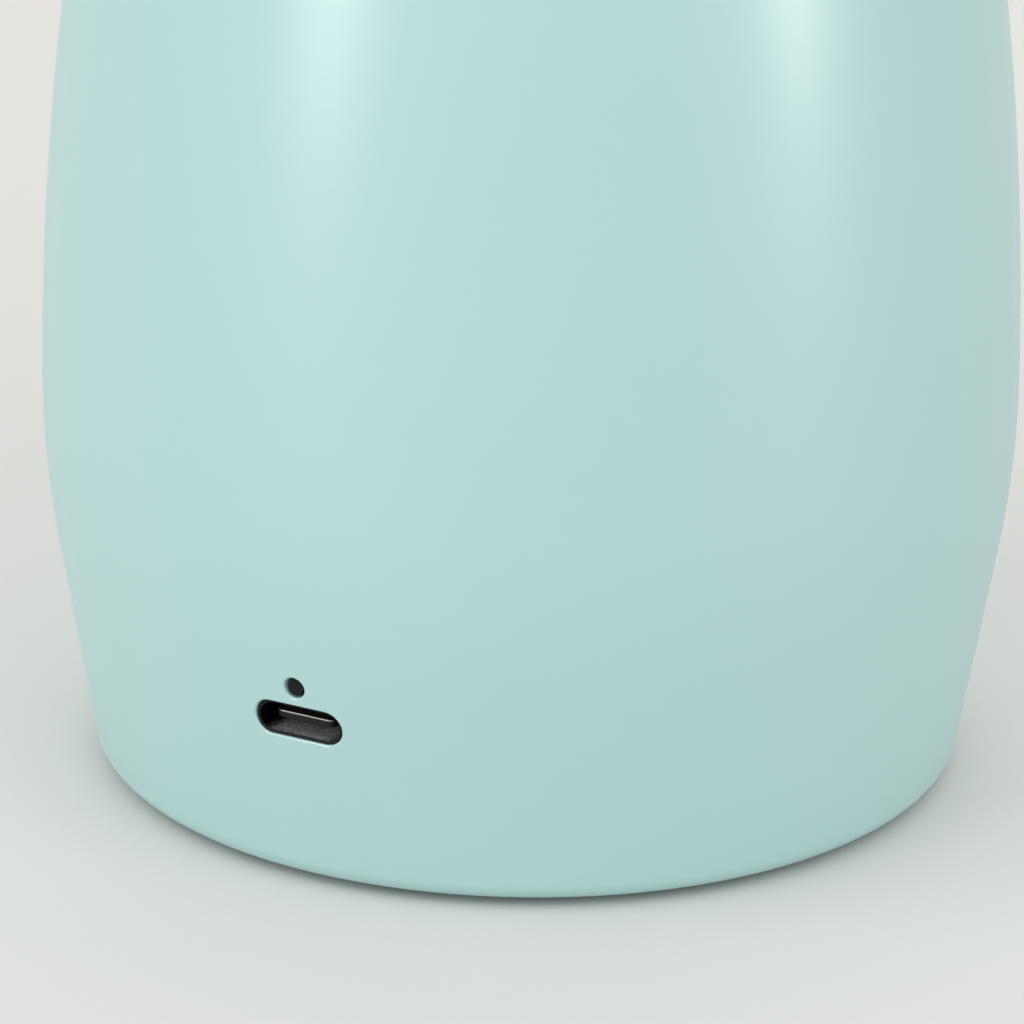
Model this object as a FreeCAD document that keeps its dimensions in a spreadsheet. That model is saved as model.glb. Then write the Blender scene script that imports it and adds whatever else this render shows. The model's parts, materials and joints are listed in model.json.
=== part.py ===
"""Rechargeable milkshake mixer: a barrel-shaped motor base, a clear screw-on jar and a lid with a flip spout.

Frame: +Z up, origin at the centre of the foot ring's underside. The power button faces -Y and the charging
port faces +Y. Millimetres throughout. Every piece is one object of the document, bound to the sheet "Sizes".
"""

import FreeCAD, Part
import math
import os
import Sketcher

Vector = FreeCAD.Vector
doc = FreeCAD.newDocument("milkshake_mixer")

# ---------------------------------------------------------------- driving dimensions

SIZES = {
    "foot_height": (0.8, "how far the foot ring stands below the housing"),
    "base_top": (106.0, "height of the housing's rim"),
    "belly_radius": (46.0, "widest radius of the housing"),
    "belly_height": (38.1, "height of the widest point"),
    "taper_drop": (15.9, "height of the arc between belly and straight taper"),
    "taper_lean": (0.175, "sine of the straight taper's lean"),
    "shoulder_arc": (322.0, "radius of the long arc above the belly"),
    "base_edge": (2.2, "radius of the housing's bottom edge"),
    "wall": (2.2, "housing wall"),
    "collar_bore": (36.7, "inside radius of the housing's rim"),
    "floor_under": (3.4, "underside of the housing's inner lip"),
    "floor_over": (5.4, "upper side of the housing's inner lip"),
    "cover_radius": (34.0, "bottom cover"),
    "lip_bore": (31.0, "opening inside the lip"),
    "foot_inner": (25.0, "foot ring, inner radius"),
    "foot_outer": (32.0, "foot ring, outer radius"),
    "foot_groove": (2.0, "top of the foot ring's groove"),
    "cover_screw_pitch": (20.0, "radius of the bottom screws' circle"),
    "cradle_top": (7.6, "upper side of the cradle plate"),
    "cell_radius": (9.2, "lithium cell"),
    "cell_length": (65.0, "lithium cell"),
    "cell_offset": (27.0, "cell axis from the mixer's axis"),
    "cell_bottom": (7.9, "underside of the cells"),
    "retainer_bottom": (73.4, "underside of the cell retainer"),
    "bracket_bottom": (76.0, "underside of the motor bracket"),
    "bracket_thick": (2.0, "motor bracket plate"),
    "bracket_screw_pitch": (31.0, "radius of the bracket screws' circle"),
    "motor_radius": (14.0, "motor can"),
    "motor_length": (38.0, "motor can"),
    "motor_shaft": (1.6, "motor shaft radius"),
    "motor_screw_pitch": (8.5, "radius of the motor screws' circle"),
    "screw_radius": (1.5, "M3 shank radius"),
    "bearing_bottom": (89.3, "underside of the ball bearing"),
    "bearing_width": (5.0, "ball bearing"),
    "bearing_outer": (7.5, "ball bearing outside radius"),
    "ball_pitch": (5.25, "radius of the ball circle"),
    "ball_radius": (1.15, "bearing ball"),
    "spindle_radius": (3.0, "stainless spindle"),
    "deck_under": (92.0, "underside of the deck floor"),
    "deck_floor": (94.5, "wet floor under the jar"),
    "hub_top": (101.0, "top of the seal hub"),
    "hub_radius": (10.5, "seal hub"),
    "deck_wall_outer": (36.5, "threaded cup wall, outside"),
    "deck_root": (35.0, "threaded cup wall, inside"),
    "deck_crest": (33.6, "crest of the cup's thread"),
    "flange_top": (108.2, "top of the deck's trim flange"),
    "flange_radius": (38.5, "trim flange"),
    "jar_bottom": (96.0, "lower rim of the jar's foot"),
    "jar_root": (33.2, "outside of the jar's foot"),
    "jar_crest": (34.6, "crest of the jar's lower thread"),
    "jar_foot_bore": (30.2, "inside of the jar's foot"),
    "jar_shoulder": (109.4, "underside of the jar's shoulder"),
    "jar_low_radius": (38.4, "jar outside, bottom"),
    "jar_high_radius": (35.4, "jar outside, top"),
    "jar_body_top": (197.0, "end of the jar's long side"),
    "jar_wall": (2.9, "jar wall"),
    "jar_sweep": (1240.0, "radius of the jar's slightly hollow side"),
    "mouth_shoulder": (198.4, "jar shoulder under the lid"),
    "mouth_root": (31.6, "outside of the jar's mouth"),
    "mouth_crest": (33.0, "crest of the mouth's thread"),
    "mouth_bore": (28.8, "inside of the jar's mouth"),
    "mouth_top": (211.0, "drinking rim"),
    "foot_lead": (12.0, "lead of the three-start thread under the jar"),
    "lid_lead": (9.0, "lead of the three-start thread under the lid"),
    "lid_bottom": (199.0, "lower rim of the lid"),
    "lid_radius": (35.8, "lid outside"),
    "lid_root": (33.4, "inside of the lid's skirt"),
    "lid_crest": (32.0, "crest of the lid's thread"),
    "lid_ceiling": (212.5, "ceiling over the drinking rim"),
    "lid_top": (220.0, "crown of the lid"),
    "lid_round": (6.5, "radius of the lid's upper edge"),
    "spout_back": (19.0, "spout axis in front of the mixer's axis"),
    "spout_outer": (7.6, "spout tube outside"),
    "spout_bore": (5.4, "spout tube inside"),
    "spout_top": (227.0, "top of the spout"),
    "hinge_back": (3.0, "cap hinge axis behind the mixer's axis"),
    "hinge_height": (224.0, "cap hinge axis"),
    "loop_back": (9.0, "carry loop axis behind the mixer's axis"),
    "loop_height": (223.0, "carry loop axis"),
    "loop_half_width": (24.0, "half the carry loop's width"),
    "loop_thick": (3.0, "carry loop bar"),
    "knuckle": (2.6, "radius of the hinge knuckles"),
    "pin_radius": (1.2, "hinge pins"),
    "pin_play": (0.05, "running clearance around pins and shafts"),
    "port_height": (17.4, "charging port axis"),
    "port_width": (8.94, "charging socket shell"),
    "port_tall": (3.26, "charging socket shell"),
    "port_front": (43.3, "front edge of the charging socket"),
    "led_height": (21.05, "charge light axis"),
    "led_radius": (0.85, "charge light hole"),
    "button_height": (62.0, "power button axis"),
    "button_radius": (9.4, "power button"),
    "ring_radius": (11.6, "light ring around the button"),
    "button_proud": (0.3, "how far the button stands out"),
}


class Size:
    """A length that carries its number and the sheet expression that gives it."""

    def __init__(self, value, text):
        self.value = float(value)
        self.text = text

    def __add__(self, other):
        other = as_size(other)
        return Size(self.value + other.value, f"({self.text} + {other.text})")

    def __sub__(self, other):
        other = as_size(other)
        return Size(self.value - other.value, f"({self.text} - {other.text})")

    def __mul__(self, other):
        other = as_size(other)
        return Size(self.value * other.value, f"({self.text} * {other.text})")

    def __truediv__(self, other):
        other = as_size(other)
        return Size(self.value / other.value, f"({self.text} / {other.text})")

    def __radd__(self, other):
        return as_size(other) + self

    def __rsub__(self, other):
        return as_size(other) - self

    def __rmul__(self, other):
        return as_size(other) * self

    def __neg__(self):
        return Size(-self.value, f"(0 - {self.text})")


def as_size(number):
    if isinstance(number, Size):
        return number
    return Size(number, f"({float(number):.6f})")


def root(size):
    return Size(math.sqrt(size.value), f"sqrt({size.text})")


sheet = doc.addObject("Spreadsheet::Sheet", "Sizes")
S = {}
for row, (alias, (number, note)) in enumerate(SIZES.items(), start=1):
    sheet.set(f"A{row}", alias)
    sheet.set(f"B{row}", str(number))
    sheet.setAlias(f"B{row}", alias)
    sheet.set(f"C{row}", note)
    S[alias] = Size(number, f"Sizes.{alias}")
doc.recompute()

NODES = {}
LEFT, RIGHT = 1, -1
X_AXIS, Y_AXIS, Z_AXIS = Vector(1, 0, 0), Vector(0, 1, 0), Vector(0, 0, 1)
QUARTER_TURNS = [math.radians(45 + 90 * k) for k in range(4)]


def node(name, piece):
    """Registers a finished sub-part under the name that its file gets."""
    piece.Label = name
    NODES[name] = piece
    return piece


# ---------------------------------------------------------------- sketches and bodies


def tie(sketch, kind, *where, size):
    """Adds a dimension to a sketch and binds it to the sheet."""
    number = sketch.addConstraint(Sketcher.Constraint(kind, *where, size.value))
    sketch.setExpression(f"Constraints[{number}]", size.text)


def tie_point(sketch, edge, end, x, y):
    tie(sketch, "DistanceX", -1, 1, edge, end, size=x)
    tie(sketch, "DistanceY", -1, 1, edge, end, size=y)


def arc_between(a, b, radius, side):
    """The short arc from a to b whose centre lies to the LEFT or RIGHT of the way it runs."""
    chord = b - a
    left = Vector(-chord.y, chord.x, 0).normalize()
    reach = math.sqrt(max(radius**2 - chord.Length**2 / 4, 0))
    centre = (a + b) * 0.5 + left * (side * reach)
    start, stop = (a, b) if side == LEFT else (b, a)
    angles = [math.atan2(p.y - centre.y, p.x - centre.x) for p in (start, stop)]
    return Part.ArcOfCircle(Part.Circle(centre, Z_AXIS, radius), *angles)


def draw(sketch, corners):
    """Draws a closed outline. A corner is (x, y), or (x, y, radius, side) when an arc leads to it."""
    corners = [[as_size(c) for c in corner[:3]] + list(corner[3:]) for corner in corners]
    ends = []
    for k, (x, y, *bend) in enumerate(corners):
        a = Vector(corners[k - 1][0].value, corners[k - 1][1].value, 0)
        b = Vector(x.value, y.value, 0)
        if not bend:
            edge = sketch.addGeometry(Part.LineSegment(a, b), False)
            ends.append((edge, 1, 2))
            continue
        radius, side = bend
        edge = sketch.addGeometry(arc_between(a, b, radius.value, side), False)
        ends.append((edge, 1, 2) if side == LEFT else (edge, 2, 1))
        tie(sketch, "Radius", edge, size=radius)
    for k, (x, y, *_bend) in enumerate(corners):
        edge, _first, last = ends[k]
        following, first, _last = ends[(k + 1) % len(ends)]
        sketch.addConstraint(Sketcher.Constraint("Coincident", edge, last, following, first))
        tie_point(sketch, edge, last, x, y)


def draw_rectangle(sketch, half_width, low, high):
    draw(sketch, [(half_width, low), (half_width, high), (-half_width, high), (-half_width, low)])


def draw_circle(sketch, x, y, radius):
    x, y, radius = as_size(x), as_size(y), as_size(radius)
    circle = Part.Circle(Vector(x.value, y.value, 0), Z_AXIS, radius.value)
    edge = sketch.addGeometry(circle, False)
    tie_point(sketch, edge, 3, x, y)
    tie(sketch, "Radius", edge, size=radius)


def slot_outline(width, height, level):
    """A slot with round ends, centred on x = 0 at the given level."""
    end = height / 2
    side = width / 2 - end
    return [
        (side, level - end),
        (side + end, level, end, LEFT),
        (side, level + end, end, LEFT),
        (-side, level + end),
        (-side - end, level, end, LEFT),
        (-side, level - end, end, LEFT),
    ]


def body(name):
    return doc.addObject("PartDesign::Body", name)


def sketch_on(owner, plane, offset=0):
    """A sketch on one of the body's own origin planes: XY, XZ (its normal is -Y) or YZ."""
    sketch = owner.newObject("Sketcher::SketchObject", owner.Name + "_sketch")
    base = [f for f in owner.Origin.OriginFeatures if f.Role == plane + "_Plane"][0]
    sketch.AttachmentSupport = [(base, "")]
    sketch.MapMode = "FlatFace"
    sketch.setExpression(".AttachmentOffset.Base.z", as_size(offset).text)
    return sketch


def turned(name, corners):
    """A body turned about the mixer's axis from an outline of (radius, height) corners."""
    owner = body(name)
    sketch = sketch_on(owner, "XZ")
    draw(sketch, corners)
    turn = owner.newObject("PartDesign::Revolution", name + "_turn")
    turn.Profile = sketch
    turn.ReferenceAxis = (sketch, ["V_Axis"])
    turn.Angle = 360
    return owner


def pad(owner, sketch, length, reverse=False, both_ways=False):
    feature = owner.newObject("PartDesign::Pad", owner.Name + "_pad")
    feature.Profile = sketch
    feature.setExpression("Length", as_size(length).text)
    feature.Reversed = reverse
    feature.SideType = "Symmetric" if both_ways else "One side"
    return feature


def pocket(owner, sketch, length, reverse=False):
    feature = owner.newObject("PartDesign::Pocket", owner.Name + "_pocket")
    feature.Profile = sketch
    feature.setExpression("Length", as_size(length).text)
    feature.Reversed = reverse
    return feature


def ridge(owner, from_root, to_crest, middle, half_root, half_crest, lead, starts=3):
    """Thread ridges: one start swept along a helix for a third of a turn, then patterned about the axis."""
    sketch = sketch_on(owner, "XZ")
    draw(
        sketch,
        [
            (from_root, middle - half_root),
            (to_crest, middle - half_crest),
            (to_crest, middle + half_crest),
            (from_root, middle + half_root),
        ],
    )
    helix = owner.newObject("PartDesign::AdditiveHelix", owner.Name + "_helix")
    helix.Profile = sketch
    helix.ReferenceAxis = (sketch, ["V_Axis"])
    helix.Mode = 0
    helix.setExpression("Pitch", lead.text)
    helix.setExpression("Height", (lead / starts).text)
    pattern = owner.newObject("PartDesign::PolarPattern", owner.Name + "_starts")
    pattern.Originals = [helix]
    pattern.Axis = (sketch, ["V_Axis"])
    pattern.Angle = 360
    pattern.Occurrences = starts
    owner.Tip = pattern


# ---------------------------------------------------------------- primitives and booleans

def put(piece, x, y, z, axis=Z_AXIS):
    """Places a primitive, with its own Z turned to the given axis."""
    piece.Placement = FreeCAD.Placement(Vector(), FreeCAD.Rotation(Z_AXIS, axis))
    for letter, size in (("x", x), ("y", y), ("z", z)):
        piece.setExpression(f"Placement.Base.{letter}", as_size(size).text)
    return piece


def cylinder(name, radius, height, x=0, y=0, z=0, axis=Z_AXIS):
    piece = doc.addObject("Part::Cylinder", name)
    piece.setExpression("Radius", as_size(radius).text)
    piece.setExpression("Height", as_size(height).text)
    return put(piece, x, y, z, axis)


def box(name, low, size):
    piece = doc.addObject("Part::Box", name)
    for side, length in zip(("Length", "Width", "Height"), size):
        piece.setExpression(side, as_size(length).text)
    return put(piece, *low)


def ball(name, radius, x, y, z):
    piece = doc.addObject("Part::Sphere", name)
    piece.setExpression("Radius", as_size(radius).text)
    return put(piece, x, y, z)


def fuse(name, *pieces):
    joined = doc.addObject("Part::MultiFuse", name)
    joined.Shapes = list(pieces)
    joined.Refine = True
    return joined


def cut(name, base, *tools):
    removed = doc.addObject("Part::Cut", name)
    removed.Base = base
    removed.Tool = tools[0] if len(tools) == 1 else fuse(name + "_tools", *tools)
    return removed


def common(name, first, second):
    shared = doc.addObject("Part::Common", name)
    shared.Base, shared.Tool = first, second
    return shared


def group(name, *pieces):
    several = doc.addObject("Part::Compound", name)
    several.Links = list(pieces)
    return several


def tube(name, outer, inner, height, x=0, y=0, z=0, axis=Z_AXIS):
    return cut(
        name,
        cylinder(name + "_outside", outer, height, x, y, z, axis),
        cylinder(name + "_bore", inner, height, x, y, z, axis),
    )


def on_both_sides(start, width):
    """Where a piece of that width starts on the +X side, and where its mirror image starts."""
    return [start, -start - width]


def even_turns(count):
    return [2 * math.pi * k / count for k in range(count)]


def around(pitch, angles):
    """Places on a circle of radius pitch."""
    return [(pitch * math.cos(a), pitch * math.sin(a)) for a in angles]


def hexagon(name, circumradius, height, x, y, z):
    prism = doc.addObject("Part::Prism", name)
    prism.Polygon = 6
    prism.setExpression("Circumradius", as_size(circumradius).text)
    prism.setExpression("Height", as_size(height).text)
    return put(prism, x, y, z)


def screw(name, x, y, seat, length, head_down=True):
    """A socket screw: its shank runs up from the seat if its head is down, and down if its head is up."""
    if head_down:
        head_z, shank_z, socket_z = seat - HEAD_HEIGHT, seat, seat - HEAD_HEIGHT
    else:
        head_z, shank_z, socket_z = seat, seat - length, seat + HEAD_HEIGHT / 2
    head = cylinder(name + "_head", HEAD_RADIUS, HEAD_HEIGHT, x, y, head_z)
    shank = cylinder(name + "_shank", S["screw_radius"], length, x, y, shank_z)
    socket = hexagon(name + "_socket", HEAD_RADIUS / 2, HEAD_HEIGHT / 2, x, y, socket_z)
    return cut(name, fuse(name + "_blank", head, shank), socket)


def lead(name, points, radius):
    """An insulated lead: straight runs joined by tangent arcs, each as large as its two runs allow."""
    points = [Vector(*point) for point in points]
    edges, bends, here = [], [], points[0]
    for before, corner, after in zip(points, points[1:], points[2:]):
        come, leave = corner - before, after - corner
        half_turn = come.getAngle(leave) / 2
        trim = 0.45 * min(come.Length, leave.Length)
        bend = trim / math.tan(half_turn)
        come.normalize()
        leave.normalize()
        inward = (leave - come).normalize()
        start, stop = corner - come * trim, corner + leave * trim
        middle = corner + inward * (bend / math.cos(half_turn) - bend)
        edges += [Part.LineSegment(here, start).toShape(), Part.Arc(start, middle, stop).toShape()]
        bends.append(round(bend, 1))
        here = stop
    edges.append(Part.LineSegment(here, points[-1]).toShape())
    path = Part.Wire(edges)
    ring = Part.Wire([Part.Circle(points[0], points[1] - points[0], radius).toShape()])
    insulation = doc.addObject("Part::Feature", name)
    insulation.Shape = path.makePipeShell([ring], True, False)
    share = insulation.Shape.Volume / (math.pi * radius**2 * path.Length)
    print(name, "bend radii", bends, "volume against section times length", round(share, 3))
    return insulation


# ---------------------------------------------------------------- the housing's skin

LEAN = S["taper_lean"]
UPRIGHT = root(1 - LEAN * LEAN)
LOW_ARC = S["taper_drop"] / LEAN
BELLY_R, BELLY_Z = S["belly_radius"], S["belly_height"]
FOOT, TOP, WALL = S["foot_height"], S["base_top"], S["wall"]


def skin(height, inset=0):
    """Radius of the long arc above the belly at a height, or of the same arc set in by inset."""
    arc = S["shoulder_arc"] - inset
    rise = height - BELLY_Z
    return BELLY_R - S["shoulder_arc"] + root(arc * arc - rise * rise)


def skin_height(radius, inset=0):
    """Height at which that arc comes in to a radius."""
    arc = S["shoulder_arc"] - inset
    reach = radius - BELLY_R + S["shoulder_arc"]
    return BELLY_Z + root(arc * arc - reach * reach)


def knee(inset=0):
    """Where the straight taper meets the arc under the belly."""
    arc = LOW_ARC - inset
    return BELLY_R - LOW_ARC + arc * UPRIGHT, BELLY_Z - arc * LEAN


def taper(height, inset=0):
    """Radius of the straight taper at a height."""
    radius, level = knee(inset)
    return radius - (level - height) * LEAN / UPRIGHT


def front_form(name, inset):
    """A solid that ends in the housing's skin around the power button, set in by inset."""
    reach = 16
    low, high = S["button_height"] - reach, S["button_height"] + reach
    arc = S["shoulder_arc"] - inset
    return turned(
        name,
        [(0, low), (skin(low, inset), low), (skin(high, inset), high, arc, LEFT), (0, high)],
    )


BUTTON_Z = S["button_height"]
RING_BACK = -40.6
BOARD_FRONT = -34.9
BUTTON_SCREWS = [(x, BUTTON_Z + z) for x in (-12.5, 12.5) for z in (-10, 10)]
COVER_SCREWS = around(S["cover_screw_pitch"].value, QUARTER_TURNS)
DECK_SCREWS = around(S["bracket_screw_pitch"].value, QUARTER_TURNS)
POST_PLACES = around(S["bracket_screw_pitch"].value, [math.radians(a) for a in (60, 120, 240, 300)])
LOOSE = 0.1
THREAD_PILOT, SCREW_CLEARANCE = 1.55, 1.7
HEAD_RADIUS, HEAD_HEIGHT = 2.75, 1.6
BOARD_HOLE = 1.1


def base_housing():
    """One moulded shell: barrel skin, inner lip for the bottom cover, port, charge light and button holes."""
    edge = S["base_edge"] * (1 - LEAN) / UPRIGHT
    corner = taper(FOOT)
    inner_knee = knee(WALL)
    recess = S["cover_radius"] + LOOSE
    shell = turned(
        "shell",
        [
            (recess, FOOT),
            (corner - edge, FOOT),
            (corner + edge * LEAN, FOOT + edge * UPRIGHT, S["base_edge"], LEFT),
            knee(),
            (BELLY_R, BELLY_Z, LOW_ARC, LEFT),
            (skin(TOP), TOP, S["shoulder_arc"], LEFT),
            (S["collar_bore"], TOP),
            (S["collar_bore"], skin_height(S["collar_bore"], WALL)),
            (BELLY_R - WALL, BELLY_Z, S["shoulder_arc"] - WALL, RIGHT),
            (*inner_knee, LOW_ARC - WALL, RIGHT),
            (taper(S["floor_over"], WALL), S["floor_over"]),
            (S["lip_bore"], S["floor_over"]),
            (S["lip_bore"], S["floor_under"]),
            (recess, S["floor_under"]),
        ],
    )
    through = BELLY_R + 2
    port = sketch_on(shell, "XZ")
    draw(port, slot_outline(S["port_width"] + 2 * LOOSE, S["port_tall"] + 2 * LOOSE, S["port_height"]))
    pocket(shell, port, through)
    light = sketch_on(shell, "XZ")
    draw_circle(light, 0, S["led_height"], S["led_radius"])
    pocket(shell, light, through)
    button = sketch_on(shell, "XZ")
    draw_circle(button, 0, BUTTON_Z, S["ring_radius"] + S["pin_play"])
    shell.Tip = pocket(shell, button, through, reverse=True)

    boss_radius, boss_reach = 2.2, 10
    pilot_radius, pilot_depth = 1.05, 5.6
    posts = [
        cylinder("boss", boss_radius, boss_reach, x, BOARD_FRONT - boss_reach, z, Y_AXIS)
        for x, z in BUTTON_SCREWS
    ]
    pilots = [
        cylinder("pilot", pilot_radius, pilot_depth, x, BOARD_FRONT - pilot_depth, z, Y_AXIS)
        for x, z in BUTTON_SCREWS
    ]
    bosses = common("bosses", fuse("boss_blanks", *posts), front_form("boss_form", WALL / 2))
    node("base_housing", cut("housing", fuse("housing_blank", shell, bosses), *pilots))


def bottom_cover():
    """Disc that closes the housing from below, with the foot's groove and four countersunk screw seats."""
    play = LOOSE
    spigot = S["lip_bore"] - 2 * LOOSE
    spigot_top = S["floor_over"] - LOOSE
    rim = 2.0
    disc = turned(
        "cover_disc",
        [
            (0, FOOT),
            (S["foot_inner"] - play, FOOT),
            (S["foot_inner"] - play, S["foot_groove"]),
            (S["foot_outer"] + play, S["foot_groove"]),
            (S["foot_outer"] + play, FOOT),
            (S["cover_radius"], FOOT),
            (S["cover_radius"], S["floor_under"]),
            (spigot, S["floor_under"]),
            (spigot, spigot_top),
            (spigot - rim, spigot_top),
            (spigot - rim, S["floor_under"]),
            (0, S["floor_under"]),
        ],
    )
    boss, boss_low, seat_radius, seat_depth = 4.2, 2.0, 3.0, 1.8
    bosses = [cylinder("cover_boss", boss, spigot_top - boss_low, x, y, boss_low) for x, y in COVER_SCREWS]
    seats = [cylinder("cover_seat", seat_radius, seat_depth, x, y, FOOT) for x, y in COVER_SCREWS]
    holes = [cylinder("cover_hole", SCREW_CLEARANCE, spigot_top, x, y, FOOT) for x, y in COVER_SCREWS]
    node("bottom_cover", cut("cover", fuse("cover_blank", disc, *bosses), *seats, *holes))

    bevel = 0.4
    foot = turned(
        "foot",
        [
            (S["foot_inner"], bevel),
            (S["foot_inner"] + bevel, 0),
            (S["foot_outer"] - bevel, 0),
            (S["foot_outer"], bevel),
            (S["foot_outer"], S["foot_groove"]),
            (S["foot_inner"], S["foot_groove"]),
        ],
    )
    node("foot_ring", foot)
    seat, shank = FOOT + seat_depth, 8.2
    screws = [screw("cover_screw", x, y, seat, shank) for x, y in COVER_SCREWS]
    node("bottom_screws", group("bottom_screws", *screws))


# ---------------------------------------------------------------- frame and battery

CELL_X = [-S["cell_offset"], S["cell_offset"]]
BOARD_TOP = S["port_height"] - S["port_tall"] / 2 - 0.02
BOARD_THICK = 1.6
CRADLE_RADIUS = 36.4
CHARGE_SCREWS = [(-7.2, 33.0), (7.2, 33.0)]
MAGNET_PITCH = 31.7
POST_RADIUS = 2.6
STRIP_HALF_WIDTH = 4


def cell_cradle():
    """Tray on the housing's lip that carries the cells, the four posts and the charging board."""
    floor, top = S["floor_over"], S["cradle_top"]
    cup_outer, cup_bore, cup_top = 10.8, 9.45, 15
    plate = cylinder("tray", CRADLE_RADIUS, top - floor, z=floor)
    cups = [cylinder("cup", cup_outer, cup_top - top, x, 0, top) for x in CELL_X]
    cup_bores = [cylinder("cup_bore", cup_bore, cup_top, x, 0, top) for x in CELL_X]
    strip_way, strip_depth = STRIP_HALF_WIDTH + 0.3, 0.6
    channel_size = (CELL_X[1] - CELL_X[0], strip_way * 2, strip_depth)
    channel = box("strip_channel", (CELL_X[0], -strip_way, top), channel_size)

    socket_outer, socket_tall = 4.2, 5.4
    sockets = [cylinder("socket", socket_outer, socket_tall, x, y, top) for x, y in POST_PLACES]
    socket_bores = [cylinder("socket_bore", POST_RADIUS, socket_tall, x, y, top) for x, y in POST_PLACES]
    boss_outer, boss_tall, pilot_depth = 3.0, 4.6, 6
    bosses = [cylinder("tray_boss", boss_outer, boss_tall, x, y, top) for x, y in COVER_SCREWS]
    pilots = [cylinder("tray_pilot", THREAD_PILOT, pilot_depth, x, y, floor) for x, y in COVER_SCREWS]

    rail_half, rail_front, rail_length, rail_top = 1.4, 24, 11.5, BOARD_TOP - BOARD_THICK
    rail_pilot, rail_depth = 0.8, 4
    rails = [
        box("rail", (x - rail_half, rail_front, top), (rail_half * 2, rail_length, rail_top - top))
        for x, _y in CHARGE_SCREWS
    ]
    rail_pilots = [
        cylinder("rail_pilot", rail_pilot, rail_depth, x, y, rail_top - rail_depth) for x, y in CHARGE_SCREWS
    ]
    blank = fuse("tray_blank", plate, *cups, *sockets, *bosses, *rails)
    limit = cylinder("tray_limit", CRADLE_RADIUS, cup_top, z=floor)
    trimmed = common("tray_trimmed", blank, limit)
    node("cell_cradle", cut("cradle", trimmed, *cup_bores, channel, *socket_bores, *pilots, *rail_pilots))


def battery_cells():
    """Two lithium cells with the crimp groove below their positive end, and their welded nickel strips."""
    r, length = S["cell_radius"], S["cell_length"]
    edge, groove_depth, groove_half = 0.8, 0.4, 0.6
    groove = length - 4.4
    cells = []
    for x in CELL_X:
        cell = turned(
            "cell",
            [
                (0, 0),
                (r - edge, 0),
                (r, edge),
                (r, groove - groove_half),
                (r - groove_depth, groove),
                (r, groove + groove_half),
                (r, length - edge),
                (r - edge, length),
                (0, length),
            ],
        )
        cells.append(put(cell, x, 0, S["cell_bottom"]))
    node("battery_cells", group("cells", *cells))

    strip, tab_half, width = 0.2, 5, STRIP_HALF_WIDTH * 2
    cell_top = S["cell_bottom"] + length
    outer = S["cell_offset"] + 4
    strips = [box("strip", (-outer, -STRIP_HALF_WIDTH, S["cell_bottom"] - strip), (outer * 2, width, strip))]
    for x in CELL_X:
        strips.append(box("strip", (x - tab_half, -STRIP_HALF_WIDTH, cell_top), (tab_half * 2, width, strip)))
    node("cell_tabs", group("tabs", *strips))


def frame_posts():
    """Four steel posts pressed into the cradle, tapped at the top for the bracket's screws."""
    low, high, tapped = S["cradle_top"], S["retainer_bottom"], 7
    posts = []
    for x, y in POST_PLACES:
        bar = cylinder("post_bar", POST_RADIUS, high - low, x, y, low)
        tapping = cylinder("post_tapping", THREAD_PILOT, tapped, x, y, high - tapped)
        posts.append(cut("post", bar, tapping))
    node("frame_posts", group("posts", *posts))


def plate_with_holes(name, radius, bore, holes, bottom, thick):
    """A round plate with a bore and screw holes, in one sketch."""
    owner = body(name)
    sketch = sketch_on(owner, "XY", bottom)
    draw_circle(sketch, 0, 0, radius)
    draw_circle(sketch, 0, 0, bore)
    for x, y, hole in holes:
        draw_circle(sketch, x, y, hole)
    pad(owner, sketch, thick)
    return owner


MOTOR_SCREWS = [(-S["motor_screw_pitch"], 0), (S["motor_screw_pitch"], 0)]
BRACKET_TOP = S["bracket_bottom"] + S["bracket_thick"]


def bracket_and_retainer():
    """The plastic plate over the cells and the steel plate that carries the motor, with their screws."""
    retainer_radius, bracket_radius, motor_play, shaft_hole = 33.0, 34.5, 0.6, 5.2
    clearance = S["screw_radius"] + LOOSE
    holes = [(x, y, clearance) for x, y in DECK_SCREWS + POST_PLACES]
    motor_holes = [(x, y, clearance) for x, y in MOTOR_SCREWS]
    low, middle = S["retainer_bottom"], S["bracket_bottom"]
    motor_hole = S["motor_radius"] + motor_play
    node("cell_retainer", plate_with_holes("retainer", retainer_radius, motor_hole, holes, low, middle - low))
    bracket = plate_with_holes(
        "bracket", bracket_radius, shaft_hole, holes + motor_holes, middle, S["bracket_thick"]
    )
    node("motor_bracket", bracket)

    deck_shank, post_shank, motor_shank = 13.4, 10.0, 3.3
    up = [screw("deck_screw", x, y, S["retainer_bottom"], deck_shank) for x, y in DECK_SCREWS]
    down = [screw("post_screw", x, y, BRACKET_TOP, post_shank, False) for x, y in POST_PLACES]
    node("bracket_screws", group("bracket_screws", *up, *down))
    motor = [screw("motor_screw", x, y, BRACKET_TOP, motor_shank, False) for x, y in MOTOR_SCREWS]
    node("motor_screws", group("motor_screws", *motor))


# ---------------------------------------------------------------- charging board and wiring


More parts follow.
